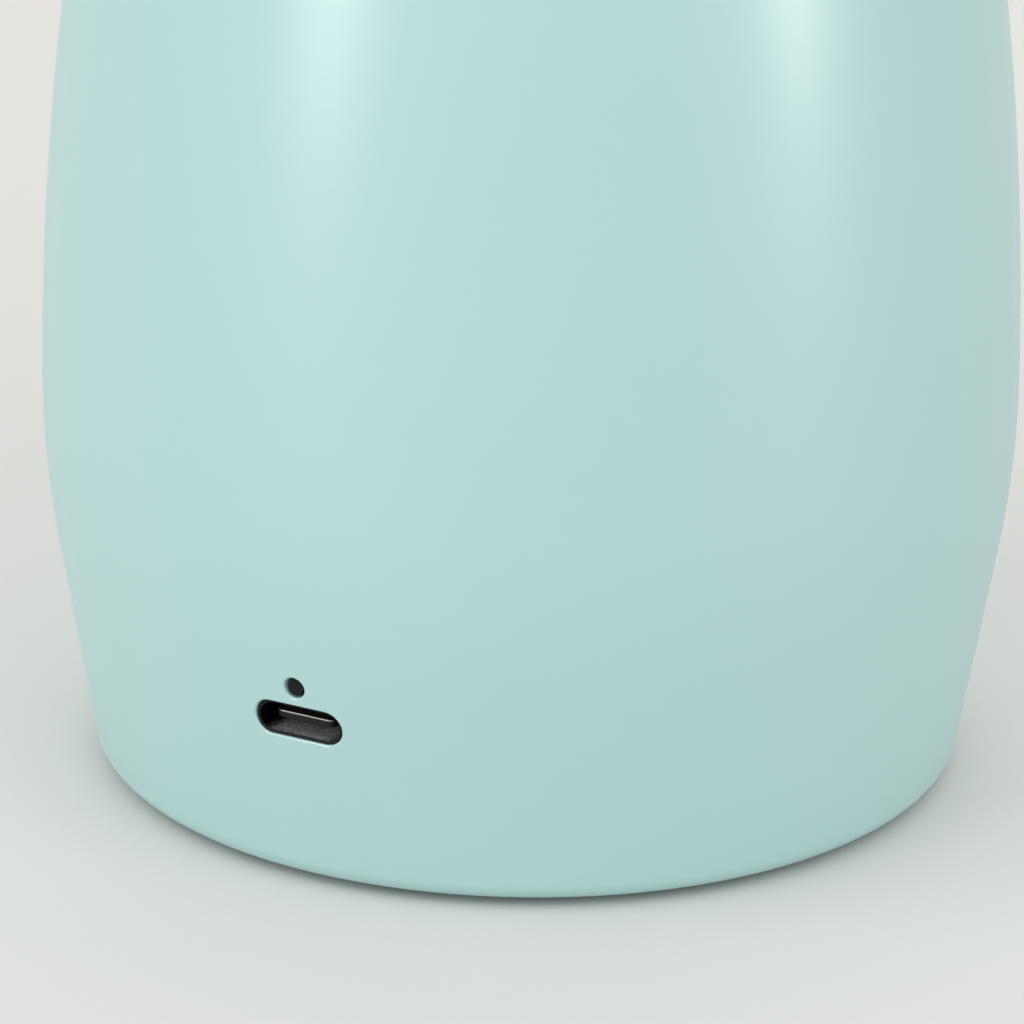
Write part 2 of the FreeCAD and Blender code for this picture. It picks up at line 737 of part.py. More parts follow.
def charging():
    """Charging board with its parts, the socket's shell and tongue, and the light guide behind its hole."""
    board_half, board_front, board_back = 9, 22, 39.4
    board = body("charge_board")
    sketch = sketch_on(board, "XY", BOARD_TOP - BOARD_THICK)
    draw_rectangle(sketch, board_half, board_front, board_back)
    for x, y in CHARGE_SCREWS:
        draw_circle(sketch, x, y, BOARD_HOLE)
    pad(board, sketch, BOARD_THICK)
    node("charge_board", board)

    sensor_size = (4, 3, 1.5)
    chips = [
        box("connector", (-7, board_front + 0.2, BOARD_TOP), (14, 4, 4.2)),
        box("charger_chip", (-2.5, 28.4, BOARD_TOP), (5, 5, 0.9)),
        cylinder("coil", 2.0, 2.8, 5.6, 29.2, BOARD_TOP),
        box("capacitor", (-6.8, 28.2, BOARD_TOP), (2.4, 1.6, 1.4)),
        box("jar_sensor", (-2, MAGNET_PITCH - 2, S["deck_under"] - sensor_size[2]), sensor_size),
    ]
    node("board_parts", group("board_parts", *chips))

    depth, sheet_metal, fit = 7.35, 0.3, 0.1
    front = S["port_front"]
    shell = body("socket_shell")
    rim = sketch_on(shell, "XZ", -front)
    draw(rim, slot_outline(S["port_width"], S["port_tall"], S["port_height"]))
    bore_width, bore_tall = S["port_width"] - 2 * sheet_metal, S["port_tall"] - 2 * sheet_metal
    draw(rim, slot_outline(bore_width, bore_tall, S["port_height"]))
    pad(shell, rim, depth)
    node("usb_shell", shell)

    insulator = body("socket_insulator")
    block_length, tongue_recess = 1.4, 1.0
    block = sketch_on(insulator, "XZ", depth - front - block_length)
    draw(block, slot_outline(bore_width - fit, bore_tall - fit, S["port_height"]))
    pad(insulator, block, block_length)
    blade = sketch_on(insulator, "XZ", tongue_recess - front)
    half, thin = 3.345, 0.35
    level = S["port_height"]
    draw_rectangle(blade, half, level - thin, level + thin)
    pad(insulator, blade, depth - tongue_recess)
    node("usb_tongue", insulator)

    guide_radius, recessed = S["led_radius"] - S["pin_play"], 0.4
    guide_start, leg_half, leg_over = 33.8, 1, 0.9
    guide_length = taper(S["led_height"]) - recessed - guide_start
    pipe = cylinder("light_guide", guide_radius, guide_length, 0, guide_start, S["led_height"], Y_AXIS)
    leg_tall = S["led_height"] - BOARD_TOP + leg_over
    leg = box("light_leg", (-leg_half, guide_start, BOARD_TOP), (leg_half * 2, leg_half * 2, leg_tall))
    node("charge_light_pipe", fuse("light_pipe", pipe, leg))


def wiring():
    """Two leads from the charging board to the motor, and the harness to the button's board."""
    gauge = 0.8
    for name, side in (("motor_lead_red", 1), ("motor_lead_black", -1)):
        route = [(10 * side, 0, 30.3), (10.6 * side, 1, 21.5), (8.5 * side, 9, 17), (4.5 * side, 22.0, 18)]
        node(name, lead(name, route, gauge))
    route = [
        (4, -33.0, 55.6),
        (4.4, -27.5, 53),
        (4, -21.5, 41),
        (4.6, -18, 27),
        (3, -9, 16),
        (1.2, 7, 14),
        (0, 22.0, 18),
    ]
    node("button_harness", lead("button_harness", route, gauge))


# ---------------------------------------------------------------- motor

MOTOR_TOP = S["bracket_bottom"]
MOTOR_BOTTOM = MOTOR_TOP - S["motor_length"]


def motor():
    """Brushed motor: steel can, end cap with brush holders, bushes, magnets, brushes and terminals."""
    can_r, steel, bush = S["motor_radius"], 1.0, 3.0
    front, tapped = 1.4, 4
    can = turned(
        "can",
        [
            (can_r - steel, MOTOR_BOTTOM),
            (can_r, MOTOR_BOTTOM),
            (can_r, MOTOR_TOP),
            (bush, MOTOR_TOP),
            (bush, MOTOR_TOP - front),
            (can_r - steel, MOTOR_TOP - front),
        ],
    )
    tap_low = MOTOR_TOP - tapped
    tappings = [cylinder("can_tapping", THREAD_PILOT, tapped, x, y, tap_low) for x, y in MOTOR_SCREWS]
    node("motor_can", cut("can_tapped", can, *tappings))

    cap_under, cap_over, bevel = MOTOR_BOTTOM - 2.4, MOTOR_BOTTOM + 1.5, 0.6
    spigot = can_r - steel - S["pin_play"]
    cap = turned(
        "end_cap",
        [
            (bush, cap_under),
            (can_r - bevel, cap_under),
            (can_r, cap_under + bevel),
            (can_r, MOTOR_BOTTOM),
            (spigot, MOTOR_BOTTOM),
            (spigot, cap_over),
            (bush, cap_over),
        ],
    )
    brush_inner, holder_inner, holder_wide, sunk = 3.9, 7.8, 3.4, 0.1
    holder_size = (holder_wide, 5, 4.6)
    holders = [
        box("brush_holder", (x, -holder_size[1] / 2, cap_over - sunk), holder_size)
        for x in on_both_sides(holder_inner, holder_wide)
    ]
    node("motor_end_cap", fuse("end_cap_holders", cap, *holders))

    running, boss = S["motor_shaft"] + S["pin_play"], 1.5
    lower = tube("lower_bush", bush, running, cap_over - cap_under, z=cap_under)
    upper = tube("upper_bush", bush, running, front + boss, z=MOTOR_TOP - front)
    node("motor_bushes", group("bushes", lower, upper))

    magnet_outer, magnet_inner, magnet_low, magnet_tall, gap_half = 12.9, 10.9, MOTOR_BOTTOM + 6, 26, 6.4
    ring = tube("magnet_ring", magnet_outer, magnet_inner, magnet_tall, z=magnet_low)
    gap = box("magnet_gap", (-can_r, -gap_half, magnet_low), (can_r * 2, gap_half * 2, magnet_tall))
    node("motor_magnets", cut("magnets", ring, gap))

    brush_size, brush_z = (holder_inner - brush_inner, 3, 2.4), MOTOR_BOTTOM + 2.9
    brushes = [
        box("brush", (x, -brush_size[1] / 2, brush_z), brush_size)
        for x in on_both_sides(brush_inner, brush_size[0])
    ]
    node("carbon_brushes", group("brushes", *brushes))
    tab_size = (2.8, 0.8, 5)
    tabs = [
        box("terminal", (x, -tab_size[1] / 2, cap_under - tab_size[2]), tab_size)
        for x in on_both_sides(8.6, tab_size[0])
    ]
    node("motor_terminals", group("terminals", *tabs))


def armature():
    """Shaft, five-pole laminated core, coils and commutator."""
    shaft_r, shaft_below = S["motor_shaft"], 5
    core_low, core_high = MOTOR_BOTTOM + 10, MOTOR_BOTTOM + 30
    shaft_low = MOTOR_BOTTOM - shaft_below
    node("motor_shaft", cylinder("shaft", shaft_r, SHAFT_TOP - shaft_low, z=shaft_low))

    core_r, slot_r, slot_pitch, mouth = 10.4, 2.6, 6.7, 1.4
    poles = 5
    owner = body("core")
    outline = sketch_on(owner, "XY", core_low)
    draw_circle(outline, 0, 0, core_r)
    draw_circle(outline, 0, 0, shaft_r)
    pad(owner, outline, core_high - core_low)
    slot = sketch_on(owner, "XY", core_high)
    neck = math.sqrt(slot_r**2 - (mouth / 2) ** 2)
    draw(
        slot,
        [
            (slot_pitch + neck, -mouth / 2, slot_r, LEFT),
            (core_r + 1, -mouth / 2),
            (core_r + 1, mouth / 2),
            (slot_pitch + neck, mouth / 2),
            (slot_pitch, slot_r, slot_r, LEFT),
            (slot_pitch - slot_r, 0, slot_r, LEFT),
            (slot_pitch, -slot_r, slot_r, LEFT),
        ],
    )
    opening = pocket(owner, slot, core_high - core_low)
    pattern = owner.newObject("PartDesign::PolarPattern", "poles")
    pattern.Originals = [opening]
    pattern.Axis = (outline, ["N_Axis"])
    pattern.Angle = 360
    pattern.Occurrences = poles
    owner.Tip = pattern
    node("armature_core", owner)

    coil_r, over = slot_r - 0.25, 1
    head_outer, head_inner, head_tall, head_gap = 9.0, 4.3, 2.8, 0.2
    bar_low, bar_length = core_low - over, core_high - core_low + over * 2
    places = around(slot_pitch, even_turns(poles))
    bars = [cylinder("coil_bar", coil_r, bar_length, x, y, bar_low) for x, y in places]
    levels = (core_low - head_gap - head_tall, core_high + head_gap)
    heads = [tube("coil_head", head_outer, head_inner, head_tall, z=level) for level in levels]
    node("armature_windings", fuse("windings", *bars, *heads))

    commutator_r, commutator_low, commutator_tall = 3.8, MOTOR_BOTTOM + 2.4, 3.6
    node("commutator", tube("commutator_ring", commutator_r, shaft_r, commutator_tall, z=commutator_low))


# ---------------------------------------------------------------- coupling, bearing and spindle

BEARING_Z = S["bearing_bottom"]
BEARING_TOP = BEARING_Z + S["bearing_width"]
SHAFT_TOP = MOTOR_BOTTOM + 46
COUPLER_LOW, COUPLER_TOP = BRACKET_TOP + 1.4, BEARING_Z - 0.5
BALLS = 7


def coupler():
    """Brass sleeve that joins the motor shaft to the spindle, with a set screw on each."""
    coupler_r, set_r, bevel, sunk = 5.0, 1.2, 0.4, 0.3
    spindle_r = S["spindle_radius"]
    sleeve = turned(
        "coupler_sleeve",
        [
            (S["motor_shaft"], COUPLER_LOW),
            (coupler_r - bevel, COUPLER_LOW),
            (coupler_r, COUPLER_LOW + bevel),
            (coupler_r, COUPLER_TOP - bevel),
            (coupler_r - bevel, COUPLER_TOP),
            (spindle_r, COUPLER_TOP),
            (spindle_r, SHAFT_TOP),
            (S["motor_shaft"], SHAFT_TOP),
        ],
    )
    low_z, high_z = COUPLER_LOW + 1.8, COUPLER_TOP - 2
    holes = [cylinder("set_hole", set_r, coupler_r, 0, 0, level, X_AXIS) for level in (low_z, high_z)]
    node("shaft_coupler", cut("coupler", sleeve, *holes))
    set_screws = []
    for level, shaft_r in ((low_z, S["motor_shaft"]), (high_z, spindle_r)):
        start = shaft_r + 0.2
        set_screws.append(cylinder("set_screw", set_r, coupler_r - sunk - start, start, 0, level, X_AXIS))
    node("coupler_set_screws", group("set_screws", *set_screws))


def bearing():
    """A 6 x 15 x 5 deep groove bearing: two grooved rings, seven balls and the cage between them."""
    middle = BEARING_Z + S["bearing_width"] / 2
    pitch, groove = S["ball_pitch"], S["ball_radius"] + 0.05
    land = 0.7
    half = root(groove * groove - land * land)
    inner_land, outer_land = pitch - land, pitch + land
    inner = turned(
        "race_in",
        [
            (S["spindle_radius"], BEARING_Z),
            (inner_land, BEARING_Z),
            (inner_land, middle - half),
            (inner_land, middle + half, groove, RIGHT),
            (inner_land, BEARING_TOP),
            (S["spindle_radius"], BEARING_TOP),
        ],
    )
    outer = turned(
        "race_out",
        [
            (S["bearing_outer"], BEARING_Z),
            (S["bearing_outer"], BEARING_TOP),
            (outer_land, BEARING_TOP),
            (outer_land, middle + half),
            (outer_land, middle - half, groove, RIGHT),
            (outer_land, BEARING_Z),
        ],
    )
    node("bearing_inner_ring", inner)
    node("bearing_outer_ring", outer)
    places = around(pitch.value, even_turns(BALLS))
    balls = [ball("bearing_ball", S["ball_radius"], x, y, middle) for x, y in places]
    node("bearing_balls", group("balls", *balls))
    band_half_wall, band_half_height = 0.4, 1.7
    band = tube(
        "cage_band",
        pitch + band_half_wall,
        pitch - band_half_wall,
        band_half_height * 2,
        z=middle - band_half_height,
    )
    pockets = [
        cylinder("cage_pocket", groove, pitch * 2, 0, 0, middle, Vector(x, y, 0)) for x, y in places
    ]
    node("ball_cage", cut("cage", band, *pockets))


BLADE_Z = 107.0
BLADE_THICK = 1.5
DISC_Z = 122.0
DISC_THICK = 1.4


def spindle():
    """Stainless spindle, its sleeves, the four-armed blade, the dished agitator and the cap nut."""
    r, thread, tip = S["spindle_radius"], 2.5, 129
    low, step = SHAFT_TOP + LOOSE, DISC_Z + DISC_THICK
    bar = turned("spindle_bar", [(0, low), (r, low), (r, step), (thread, step), (thread, tip), (0, tip)])
    node("spindle", bar)

    top = BLADE_Z + BLADE_THICK
    lower_r, upper_r, lower_z = 5.0, 4.5, S["hub_top"] + 0.6
    lower = tube("lower_sleeve", lower_r, r, BLADE_Z - lower_z, z=lower_z)
    upper = tube("upper_sleeve", upper_r, r, DISC_Z - top, z=top)
    node("spindle_sleeves", group("sleeves", lower, upper))

    arm_width = 7
    blade = body("blade")
    rising = sketch_on(blade, "XZ")
    tip_in, tip_out, tip_z = 21.2, 22.4, 117.5
    draw(
        rising,
        [
            (13, BLADE_Z),
            (tip_out, tip_z - 0.9),
            (tip_in, tip_z),
            (12.2, top),
            (-12.2, top),
            (-tip_in, tip_z),
            (-tip_out, tip_z - 0.9),
            (-13, BLADE_Z),
        ],
    )
    pad(blade, rising, arm_width, both_ways=True)
    falling = sketch_on(blade, "YZ")
    foot_in, foot_out, foot_z = 22.6, 23.6, 100.4
    draw(
        falling,
        [
            (14, BLADE_Z),
            (foot_in, foot_z),
            (foot_out, foot_z + 0.9),
            (14.8, top),
            (-14.8, top),
            (-foot_out, foot_z + 0.9),
            (-foot_in, foot_z),
            (-14, BLADE_Z),
        ],
    )
    pad(blade, falling, arm_width, both_ways=True)
    bore = sketch_on(blade, "XY", top)
    draw_circle(bore, 0, 0, r)
    blade.Tip = pocket(blade, bore, BLADE_THICK)
    node("mixing_blade", blade)

    dish_outer, dish_rise, flat = 13.4, 3, 6
    dish = turned(
        "dish",
        [
            (r, DISC_Z),
            (flat, DISC_Z),
            (dish_outer, DISC_Z + dish_rise),
            (dish_outer - 0.4, DISC_Z + dish_rise + 1.2),
            (flat - 0.3, step),
            (r, step),
        ],
    )
    hole_count, hole_pitch, hole_r, hole_reach = 6, 9.6, 1.9, 8
    places = around(hole_pitch, even_turns(hole_count))
    holes = [cylinder("dish_hole", hole_r, hole_reach, x, y, DISC_Z - 1) for x, y in places]
    node("agitator_disc", cut("agitator", dish, *holes))

    nut_corner, nut_height, dome_r, dome_low = 5.2, 3.4, 4.4, DISC_Z + 4
    blank = hexagon("nut_hexagon", nut_corner, nut_height, 0, 0, step)
    collar = dome_low + 1
    dome = turned(
        "nut_dome", [(0, dome_low), (dome_r, dome_low), (dome_r, collar), (0, collar + dome_r, dome_r, LEFT)]
    )
    hollow = cylinder("nut_thread", thread, tip - step, z=step)
    node("cap_nut", cut("nut", fuse("nut_blank", blank, dome), hollow))


# ---------------------------------------------------------------- deck under the jar

FOOT_RIDGE_Z = 99.2


def deck():
    """Threaded cup that closes the base: seal hub, wet floor, cup wall and the trim flange on the rim."""
    under, floor, hub = S["deck_under"], S["deck_floor"], S["hub_radius"]
    shoulder, seal_floor, seal_r = 5.4, 95.9, 7.0
    thread_root, outer = S["deck_root"], S["deck_wall_outer"]
    flange, top = S["flange_radius"], S["flange_top"]
    groove_in, groove_out, groove_top = 37.0, 38.0, TOP + 0.8
    cup = turned(
        "cup",
        [
            (S["bearing_outer"], BEARING_Z - 0.5),
            (hub, BEARING_Z - 0.5),
            (hub, under),
            (outer, under),
            (outer, TOP),
            (groove_in, TOP),
            (groove_in, groove_top),
            (groove_out, groove_top),
            (groove_out, TOP),
            (flange, TOP),
            (flange, top - 0.6),
            (flange - 0.6, top),
            (thread_root, top),
            (thread_root, floor + 1.5),
            (thread_root - 1.5, floor, 1.5, RIGHT),
            (hub + 2, floor),
            (hub, floor + 2, 2, RIGHT),
            (hub, S["hub_top"] - 1),
            (hub - 1, S["hub_top"], 1, LEFT),
            (seal_r, S["hub_top"]),
            (seal_r, seal_floor),
            (shoulder, seal_floor),
            (shoulder, BEARING_TOP),
            (S["bearing_outer"], BEARING_TOP),
        ],
    )
    ridge(cup, thread_root + 0.2, S["deck_crest"], FOOT_RIDGE_Z, 1.1, 0.5, S["foot_lead"])
    boss_r, pilot_depth = 3.2, 9.6
    boss_tall = under - BRACKET_TOP + 0.4
    bosses = [cylinder("deck_boss", boss_r, boss_tall, x, y, BRACKET_TOP) for x, y in DECK_SCREWS]
    pilots = [cylinder("deck_pilot", THREAD_PILOT, pilot_depth, x, y, BRACKET_TOP) for x, y in DECK_SCREWS]
    node("deck", cut("deck_drilled", fuse("deck_blank", cup, *bosses), *pilots))
    gasket_tall, gasket_low = 0.7, TOP + 0.02
    node("deck_gasket", tube("gasket", groove_out - LOOSE, groove_in + LOOSE, gasket_tall, z=gasket_low))

    shaft_r = S["spindle_radius"] + S["pin_play"]
    seal_top = 100.6
    seal = turned(
        "shaft_seal",
        [
            (3.8, seal_floor),
            (seal_r, seal_floor),
            (seal_r, seal_top),
            (5.8, seal_top),
            (5.4, seal_floor + 1.6),
            (3.6, seal_top - 1.2),
            (shaft_r, seal_top - 1.8),
            (shaft_r, seal_top - 2.4),
        ],
    )
    node("lip_seal", seal)


# ---------------------------------------------------------------- power button

SWITCH_FRONT = -38.4
PAN_RADIUS, PAN_HEIGHT = 1.8, 1.2


def power_button():
    """Button with its retaining flange, light ring, switch, lights and the board that carries them."""
    z, r = BUTTON_Z, S["button_radius"]
    flange_play, flange_thick, flange_wide, reach = 0.1, 1.0, 1.4, 8
    flange_front = RING_BACK + flange_play
    stem = cylinder("button_stem", r, reach, 0, flange_front + flange_thick - reach, z, Y_AXIS)
    flange = cylinder("button_flange", r + flange_wide, flange_thick, 0, flange_front, z, Y_AXIS)
    form = front_form("button_form", -S["button_proud"])
    node("power_button", common("button", fuse("button_blank", stem, flange), form))

    gap, collar_wide, collar_gap, collar_deep = 0.2, 1.6, 1.7, 2.2
    ring_r = S["ring_radius"]
    bezel = tube("ring_bezel", ring_r, r + gap, reach, 0, RING_BACK - reach, z, Y_AXIS)
    collar = tube("ring_collar", ring_r + collar_wide, r + collar_gap, collar_deep, 0, RING_BACK, z, Y_AXIS)
    ring_form = front_form("ring_form", LOOSE)
    node("button_light_ring", common("light_ring", fuse("ring_blank", bezel, collar), ring_form))

    board_half, below, above = 15, 12.5, 12.3
    board = body("front_board")
    sketch = sketch_on(board, "XZ", -BOARD_FRONT)
    draw_rectangle(sketch, board_half, z - below, z + above)
    for x, level in BUTTON_SCREWS:
        draw_circle(sketch, x, level, BOARD_HOLE)
    pad(board, sketch, BOARD_THICK, reverse=True)
    node("button_board", board)

    case_half, well_r, well_deep, plunger_r, plunger_long, plunger_out = 3, 1.8, 2.2, 1.7, 2.0, 1.0
    case = box(
        "switch_case",
        (-case_half, SWITCH_FRONT, z - case_half),
        (case_half * 2, BOARD_FRONT - SWITCH_FRONT, case_half * 2),
    )
    well = cylinder("switch_well", well_r, well_deep, 0, SWITCH_FRONT, z, Y_AXIS)
    node("tact_switch", cut("switch", case, well))
    plunger = cylinder("plunger", plunger_r, plunger_long, 0, SWITCH_FRONT - plunger_out, z, Y_AXIS)
    node("switch_plunger", plunger)

    led_pitch, led_half, led_tall = 10.4, 1, 1.2
    led_size = (led_half * 2, led_tall, led_half * 2)
    leds = [
        box("led", (x - led_half, BOARD_FRONT - led_tall, z + rise - led_half), led_size)
        for x, rise in around(led_pitch, QUARTER_TURNS)
    ]
    node("ring_leds", group("leds", *leds))

    front_shank, front_long, top_shank, top_long = 1.0, 6.0, 0.75, 4.6
    screws = []
    for x, level in BUTTON_SCREWS:
        face = BOARD_FRONT + BOARD_THICK
        pan = cylinder("pan", PAN_RADIUS, PAN_HEIGHT, x, face, level, Y_AXIS)
        shank = cylinder("pan_shank", front_shank, front_long, x, face - front_long, level, Y_AXIS)
        screws.append(fuse("front_screw", pan, shank))
    for x, y in CHARGE_SCREWS:
        pan = cylinder("pan", PAN_RADIUS, PAN_HEIGHT, x, y, BOARD_TOP)
        shank = cylinder("pan_shank", top_shank, top_long, x, y, BOARD_TOP - top_long)
        screws.append(fuse("top_screw", pan, shank))
    node("board_screws", group("board_screws", *screws))


# ---------------------------------------------------------------- jar

MOUTH_RIDGE_Z = 202.2
SEAL_GAP = 0.1


def jar():
    """Clear jar, open at both ends: threaded foot, tall slightly hollow side, threaded drinking mouth."""
    shoulder, low, high = S["jar_shoulder"], S["jar_low_radius"], S["jar_high_radius"]
    body_top, wall, sweep = S["jar_body_top"], S["jar_wall"], S["jar_sweep"]
    foot_r, bore, mouth_r, mouth_bore = S["jar_root"], S["jar_foot_bore"], S["mouth_root"], S["mouth_bore"]
    bottom, top = S["jar_bottom"], S["mouth_top"]
    blank = turned(
        "jar_blank",
        [
            (bore, bottom),
            (foot_r, bottom),
            (foot_r, shoulder),
            (low - 0.6, shoulder),
            (low, shoulder + 0.6, 0.6, LEFT),
            (high, body_top - 2, sweep, RIGHT),
            (high - 1.4, body_top, 2, LEFT),
            (mouth_r, S["mouth_shoulder"]),
            (mouth_r, top - 0.8),
            (mouth_r - 0.8, top, 0.8, LEFT),
            (mouth_bore, top),
            (mouth_bore, S["mouth_shoulder"] - 0.6),
            (high - wall, body_top - 6),
            (low - wall - 0.2, shoulder + 7, sweep + wall, LEFT),
            (bore + 2.2, shoulder + 0.6, 8, RIGHT),
            (bore, shoulder - 3, 4, LEFT),
        ],
    )
    ridge(blank, foot_r - 0.2, S["jar_crest"], FOOT_RIDGE_Z - 2, 1.1, 0.5, S["foot_lead"])
    ridge(blank, mouth_r - 0.2, S["mouth_crest"], MOUTH_RIDGE_Z, 0.85, 0.35, S["lid_lead"])
    pocket_depth, magnet_r, magnet_long, magnet_up = 5, 1.0, 4.4, 0.4
    sides = (MAGNET_PITCH, -MAGNET_PITCH)
    pockets = [cylinder("magnet_pocket", magnet_r + S["pin_play"], pocket_depth, 0, y, bottom) for y in sides]
    node("jar", cut("jar_drilled", blank, *pockets))
    magnets = [cylinder("jar_magnet", magnet_r, magnet_long, 0, y, bottom + magnet_up) for y in sides]
    node("jar_magnets", group("jar_magnets", *magnets))


def seals():
    """Flat silicone rings under the jar's shoulder and over its mouth."""
    foot_outer, foot_inner, mouth_outer, mouth_inner = 37.4, S["jar_root"] + 0.3, 33.2, 29.0
    foot_low, foot_high = S["flange_top"] + SEAL_GAP, S["jar_shoulder"] - SEAL_GAP
    node("jar_seal", tube("foot_seal", foot_outer, foot_inner, foot_high - foot_low, z=foot_low))
    mouth_low, mouth_high = S["mouth_top"] + SEAL_GAP, S["lid_ceiling"] - SEAL_GAP
    node("lid_seal", tube("mouth_seal", mouth_outer, mouth_inner, mouth_high - mouth_low, z=mouth_low))


# ---------------------------------------------------------------- lid, spout cap and carry loop

HINGE_Y, HINGE_Z = S["hinge_back"], S["hinge_height"]
LOOP_Y, LOOP_Z = S["loop_back"], S["loop_height"]
SPOUT_Y = -S["spout_back"]
KNUCKLE, PIN = S["knuckle"], S["pin_radius"]
CAP_LUGS = (6.3, 2.7)
LOOP_LUGS = (18.9, 3.3)


def lugs(name, start, width, y, z):
    """A pair of hinge lugs standing on the lid."""
    base = S["lid_top"] - 1
    pieces = []
    for x in on_both_sides(start, width):
        pieces.append(box(name + "_web", (x, y - KNUCKLE, base), (width, KNUCKLE * 2, z - base)))
        pieces.append(cylinder(name + "_eye", KNUCKLE, width, x, y, z, X_AXIS))
    return pieces


def lid():
    """Lid with its thread, spout tube and the lugs of the two hinges, and the three hinge pins."""
    r, ceiling, top, edge = S["lid_radius"], S["lid_ceiling"], S["lid_top"], S["lid_round"]
    thread_root, bottom = S["lid_root"], S["lid_bottom"]
    crown_under, dome_r, dome_round = top - 2.6, 27.6, 3.6
    blank = turned(
        "lid_blank",
        [
            (thread_root, bottom),
            (r, bottom),
            (r, top - edge),
            (r - edge, top, edge, LEFT),
            (0, top),
            (0, crown_under),
            (dome_r - dome_round, crown_under),
            (dome_r, crown_under - dome_round, dome_round, RIGHT),
            (dome_r, ceiling),
            (thread_root, ceiling),
        ],
    )
    ridge(blank, thread_root + 0.2, S["lid_crest"], MOUTH_RIDGE_Z + 1.5, 0.85, 0.35, S["lid_lead"])
    spout = cylinder("spout_wall", S["spout_outer"], S["spout_top"] - crown_under, 0, SPOUT_Y, crown_under)
    spout_bore = cylinder("spout_bore", S["spout_bore"], 20, 0, SPOUT_Y, crown_under - 5)
    eyes = lugs("cap_lug", *CAP_LUGS, HINGE_Y, HINGE_Z) + lugs("loop_lug", *LOOP_LUGS, LOOP_Y, LOOP_Z)
    cap_pin_hole = cylinder("cap_pin_hole", PIN, 20, -10, HINGE_Y, HINGE_Z, X_AXIS)
    loop_pin_hole = cylinder("loop_pin_hole", PIN, 50, -25, LOOP_Y, LOOP_Z, X_AXIS)
    lid_solid = fuse("lid_solid", blank, spout, *eyes)
    node("lid", cut("lid_bored", lid_solid, spout_bore, cap_pin_hole, loop_pin_hole))

    cap_reach = CAP_LUGS[0] + CAP_LUGS[1]
    pins = [cylinder("cap_pin", PIN, cap_reach * 2, -cap_reach, HINGE_Y, HINGE_Z, X_AXIS)]
    inner, outer = LOOP_LUGS[0], S["loop_half_width"] + S["loop_thick"] / 2
    pins.append(cylinder("loop_pin", PIN, outer - inner, inner, LOOP_Y, LOOP_Z, X_AXIS))
    pins.append(cylinder("loop_pin", PIN, outer - inner, -outer, LOOP_Y, LOOP_Z, X_AXIS))
    node("hinge_pins", group("pins", *pins))


def spout_cap():
    """Cap over the spout with its hinge arm, and the soft plug inside it."""
    cap_r, bore, low, high, roof = 10.0, 8.3, 220.6, 230.0, 1.8
    cap_shell = turned(
        "cap_shell",
        [
            (bore, low),
            (cap_r, low),
            (cap_r, high - 1.6),
            (cap_r - 1.6, high, 1.6, LEFT),
            (0, high),
            (0, high - roof),
            (bore, high - roof),
        ],
    )
    put(cap_shell, 0, SPOUT_Y, 0)
    arm = box("cap_arm", (-5.6, SPOUT_Y + cap_r - 0.8, HINGE_Z - 1.6), (11.2, 12.8, 3.2))
    half = 6.0
    eye = cylinder("cap_eye", KNUCKLE, half * 2, -half, HINGE_Y, HINGE_Z, X_AXIS)
    eye_bore = cylinder("cap_eye_bore", PIN + S["pin_play"], half * 2, -half, HINGE_Y, HINGE_Z, X_AXIS)
    tab = box("cap_tab", (-4, SPOUT_Y - cap_r - 1.8, low), (8, 2.8, 2))
    node("spout_cap", cut("cap", fuse("cap_blank", cap_shell, arm, eye, tab), eye_bore))
    plug_r, spout_top = 5.0, S["spout_top"]
    plug = turned(
        "plug",
        [
            (0, spout_top - 2.4),
            (plug_r - 0.5, spout_top - 2.4),
            (plug_r, spout_top - 1.9),
            (plug_r, spout_top + 0.3),
            (bore - 0.2, spout_top + 0.3),
            (bore - 0.2, high - roof),
            (0, high - roof),
        ],
    )
    node("cap_plug", put(plug, 0, SPOUT_Y, 0))


def carry_loop():
    """U-shaped carrying loop that lies back on the lid and swings up."""
    half, thick, round_in = S["loop_half_width"], S["loop_thick"], 9
    out, inside = half + thick / 2, half - thick / 2
    round_out = round_in + thick
    back = 36
    straight = back - round_out
    across = (inside, -out)
    loop = body("loop")
    sketch = sketch_on(loop, "XY", LOOP_Z - thick / 2)
    draw(
        sketch,
        [
            (out, LOOP_Y),
            (out, straight),
            (out - round_out, back, round_out, LEFT),
            (round_out - out, back),
            (-out, straight, round_out, LEFT),
            (-out, LOOP_Y),
            (-inside, LOOP_Y),
            (-inside, straight),
            (round_in - inside, back - thick, round_in, RIGHT),
            (inside - round_in, back - thick),
            (inside, straight, round_in, RIGHT),
            (inside, LOOP_Y),
        ],
    )
    pad(loop, sketch, thick)
    arms = [cylinder("loop_eye", KNUCKLE, thick, x, LOOP_Y, LOOP_Z, X_AXIS) for x in across]
    bores = [cylinder("loop_bore", PIN + S["pin_play"], thick, x, LOOP_Y, LOOP_Z, X_AXIS) for x in across]
    node("carry_loop", cut("carry", fuse("carry_blank", loop, *arms), *bores))


# ---------------------------------------------------------------- build, test and write

for make in (
    base_housing, bottom_cover, cell_cradle, battery_cells, frame_posts, bracket_and_retainer, charging,
    wiring, motor, armature, coupler, bearing, spindle, deck, power_button, jar, seals, lid, spout_cap,
    carry_loop,
):
    make()
doc.recompute()

faults = [f"{item.Name}: {item.State}" for item in doc.Objects if {"Invalid", "Error"} & set(item.State)]
for name, piece in NODES.items():
    if piece.Shape.isNull() or not piece.Shape.isValid() or not piece.Shape.Solids:
        faults.append(f"{name}: shape is null, invalid or empty")
if faults:
    raise RuntimeError("\n".join(faults))

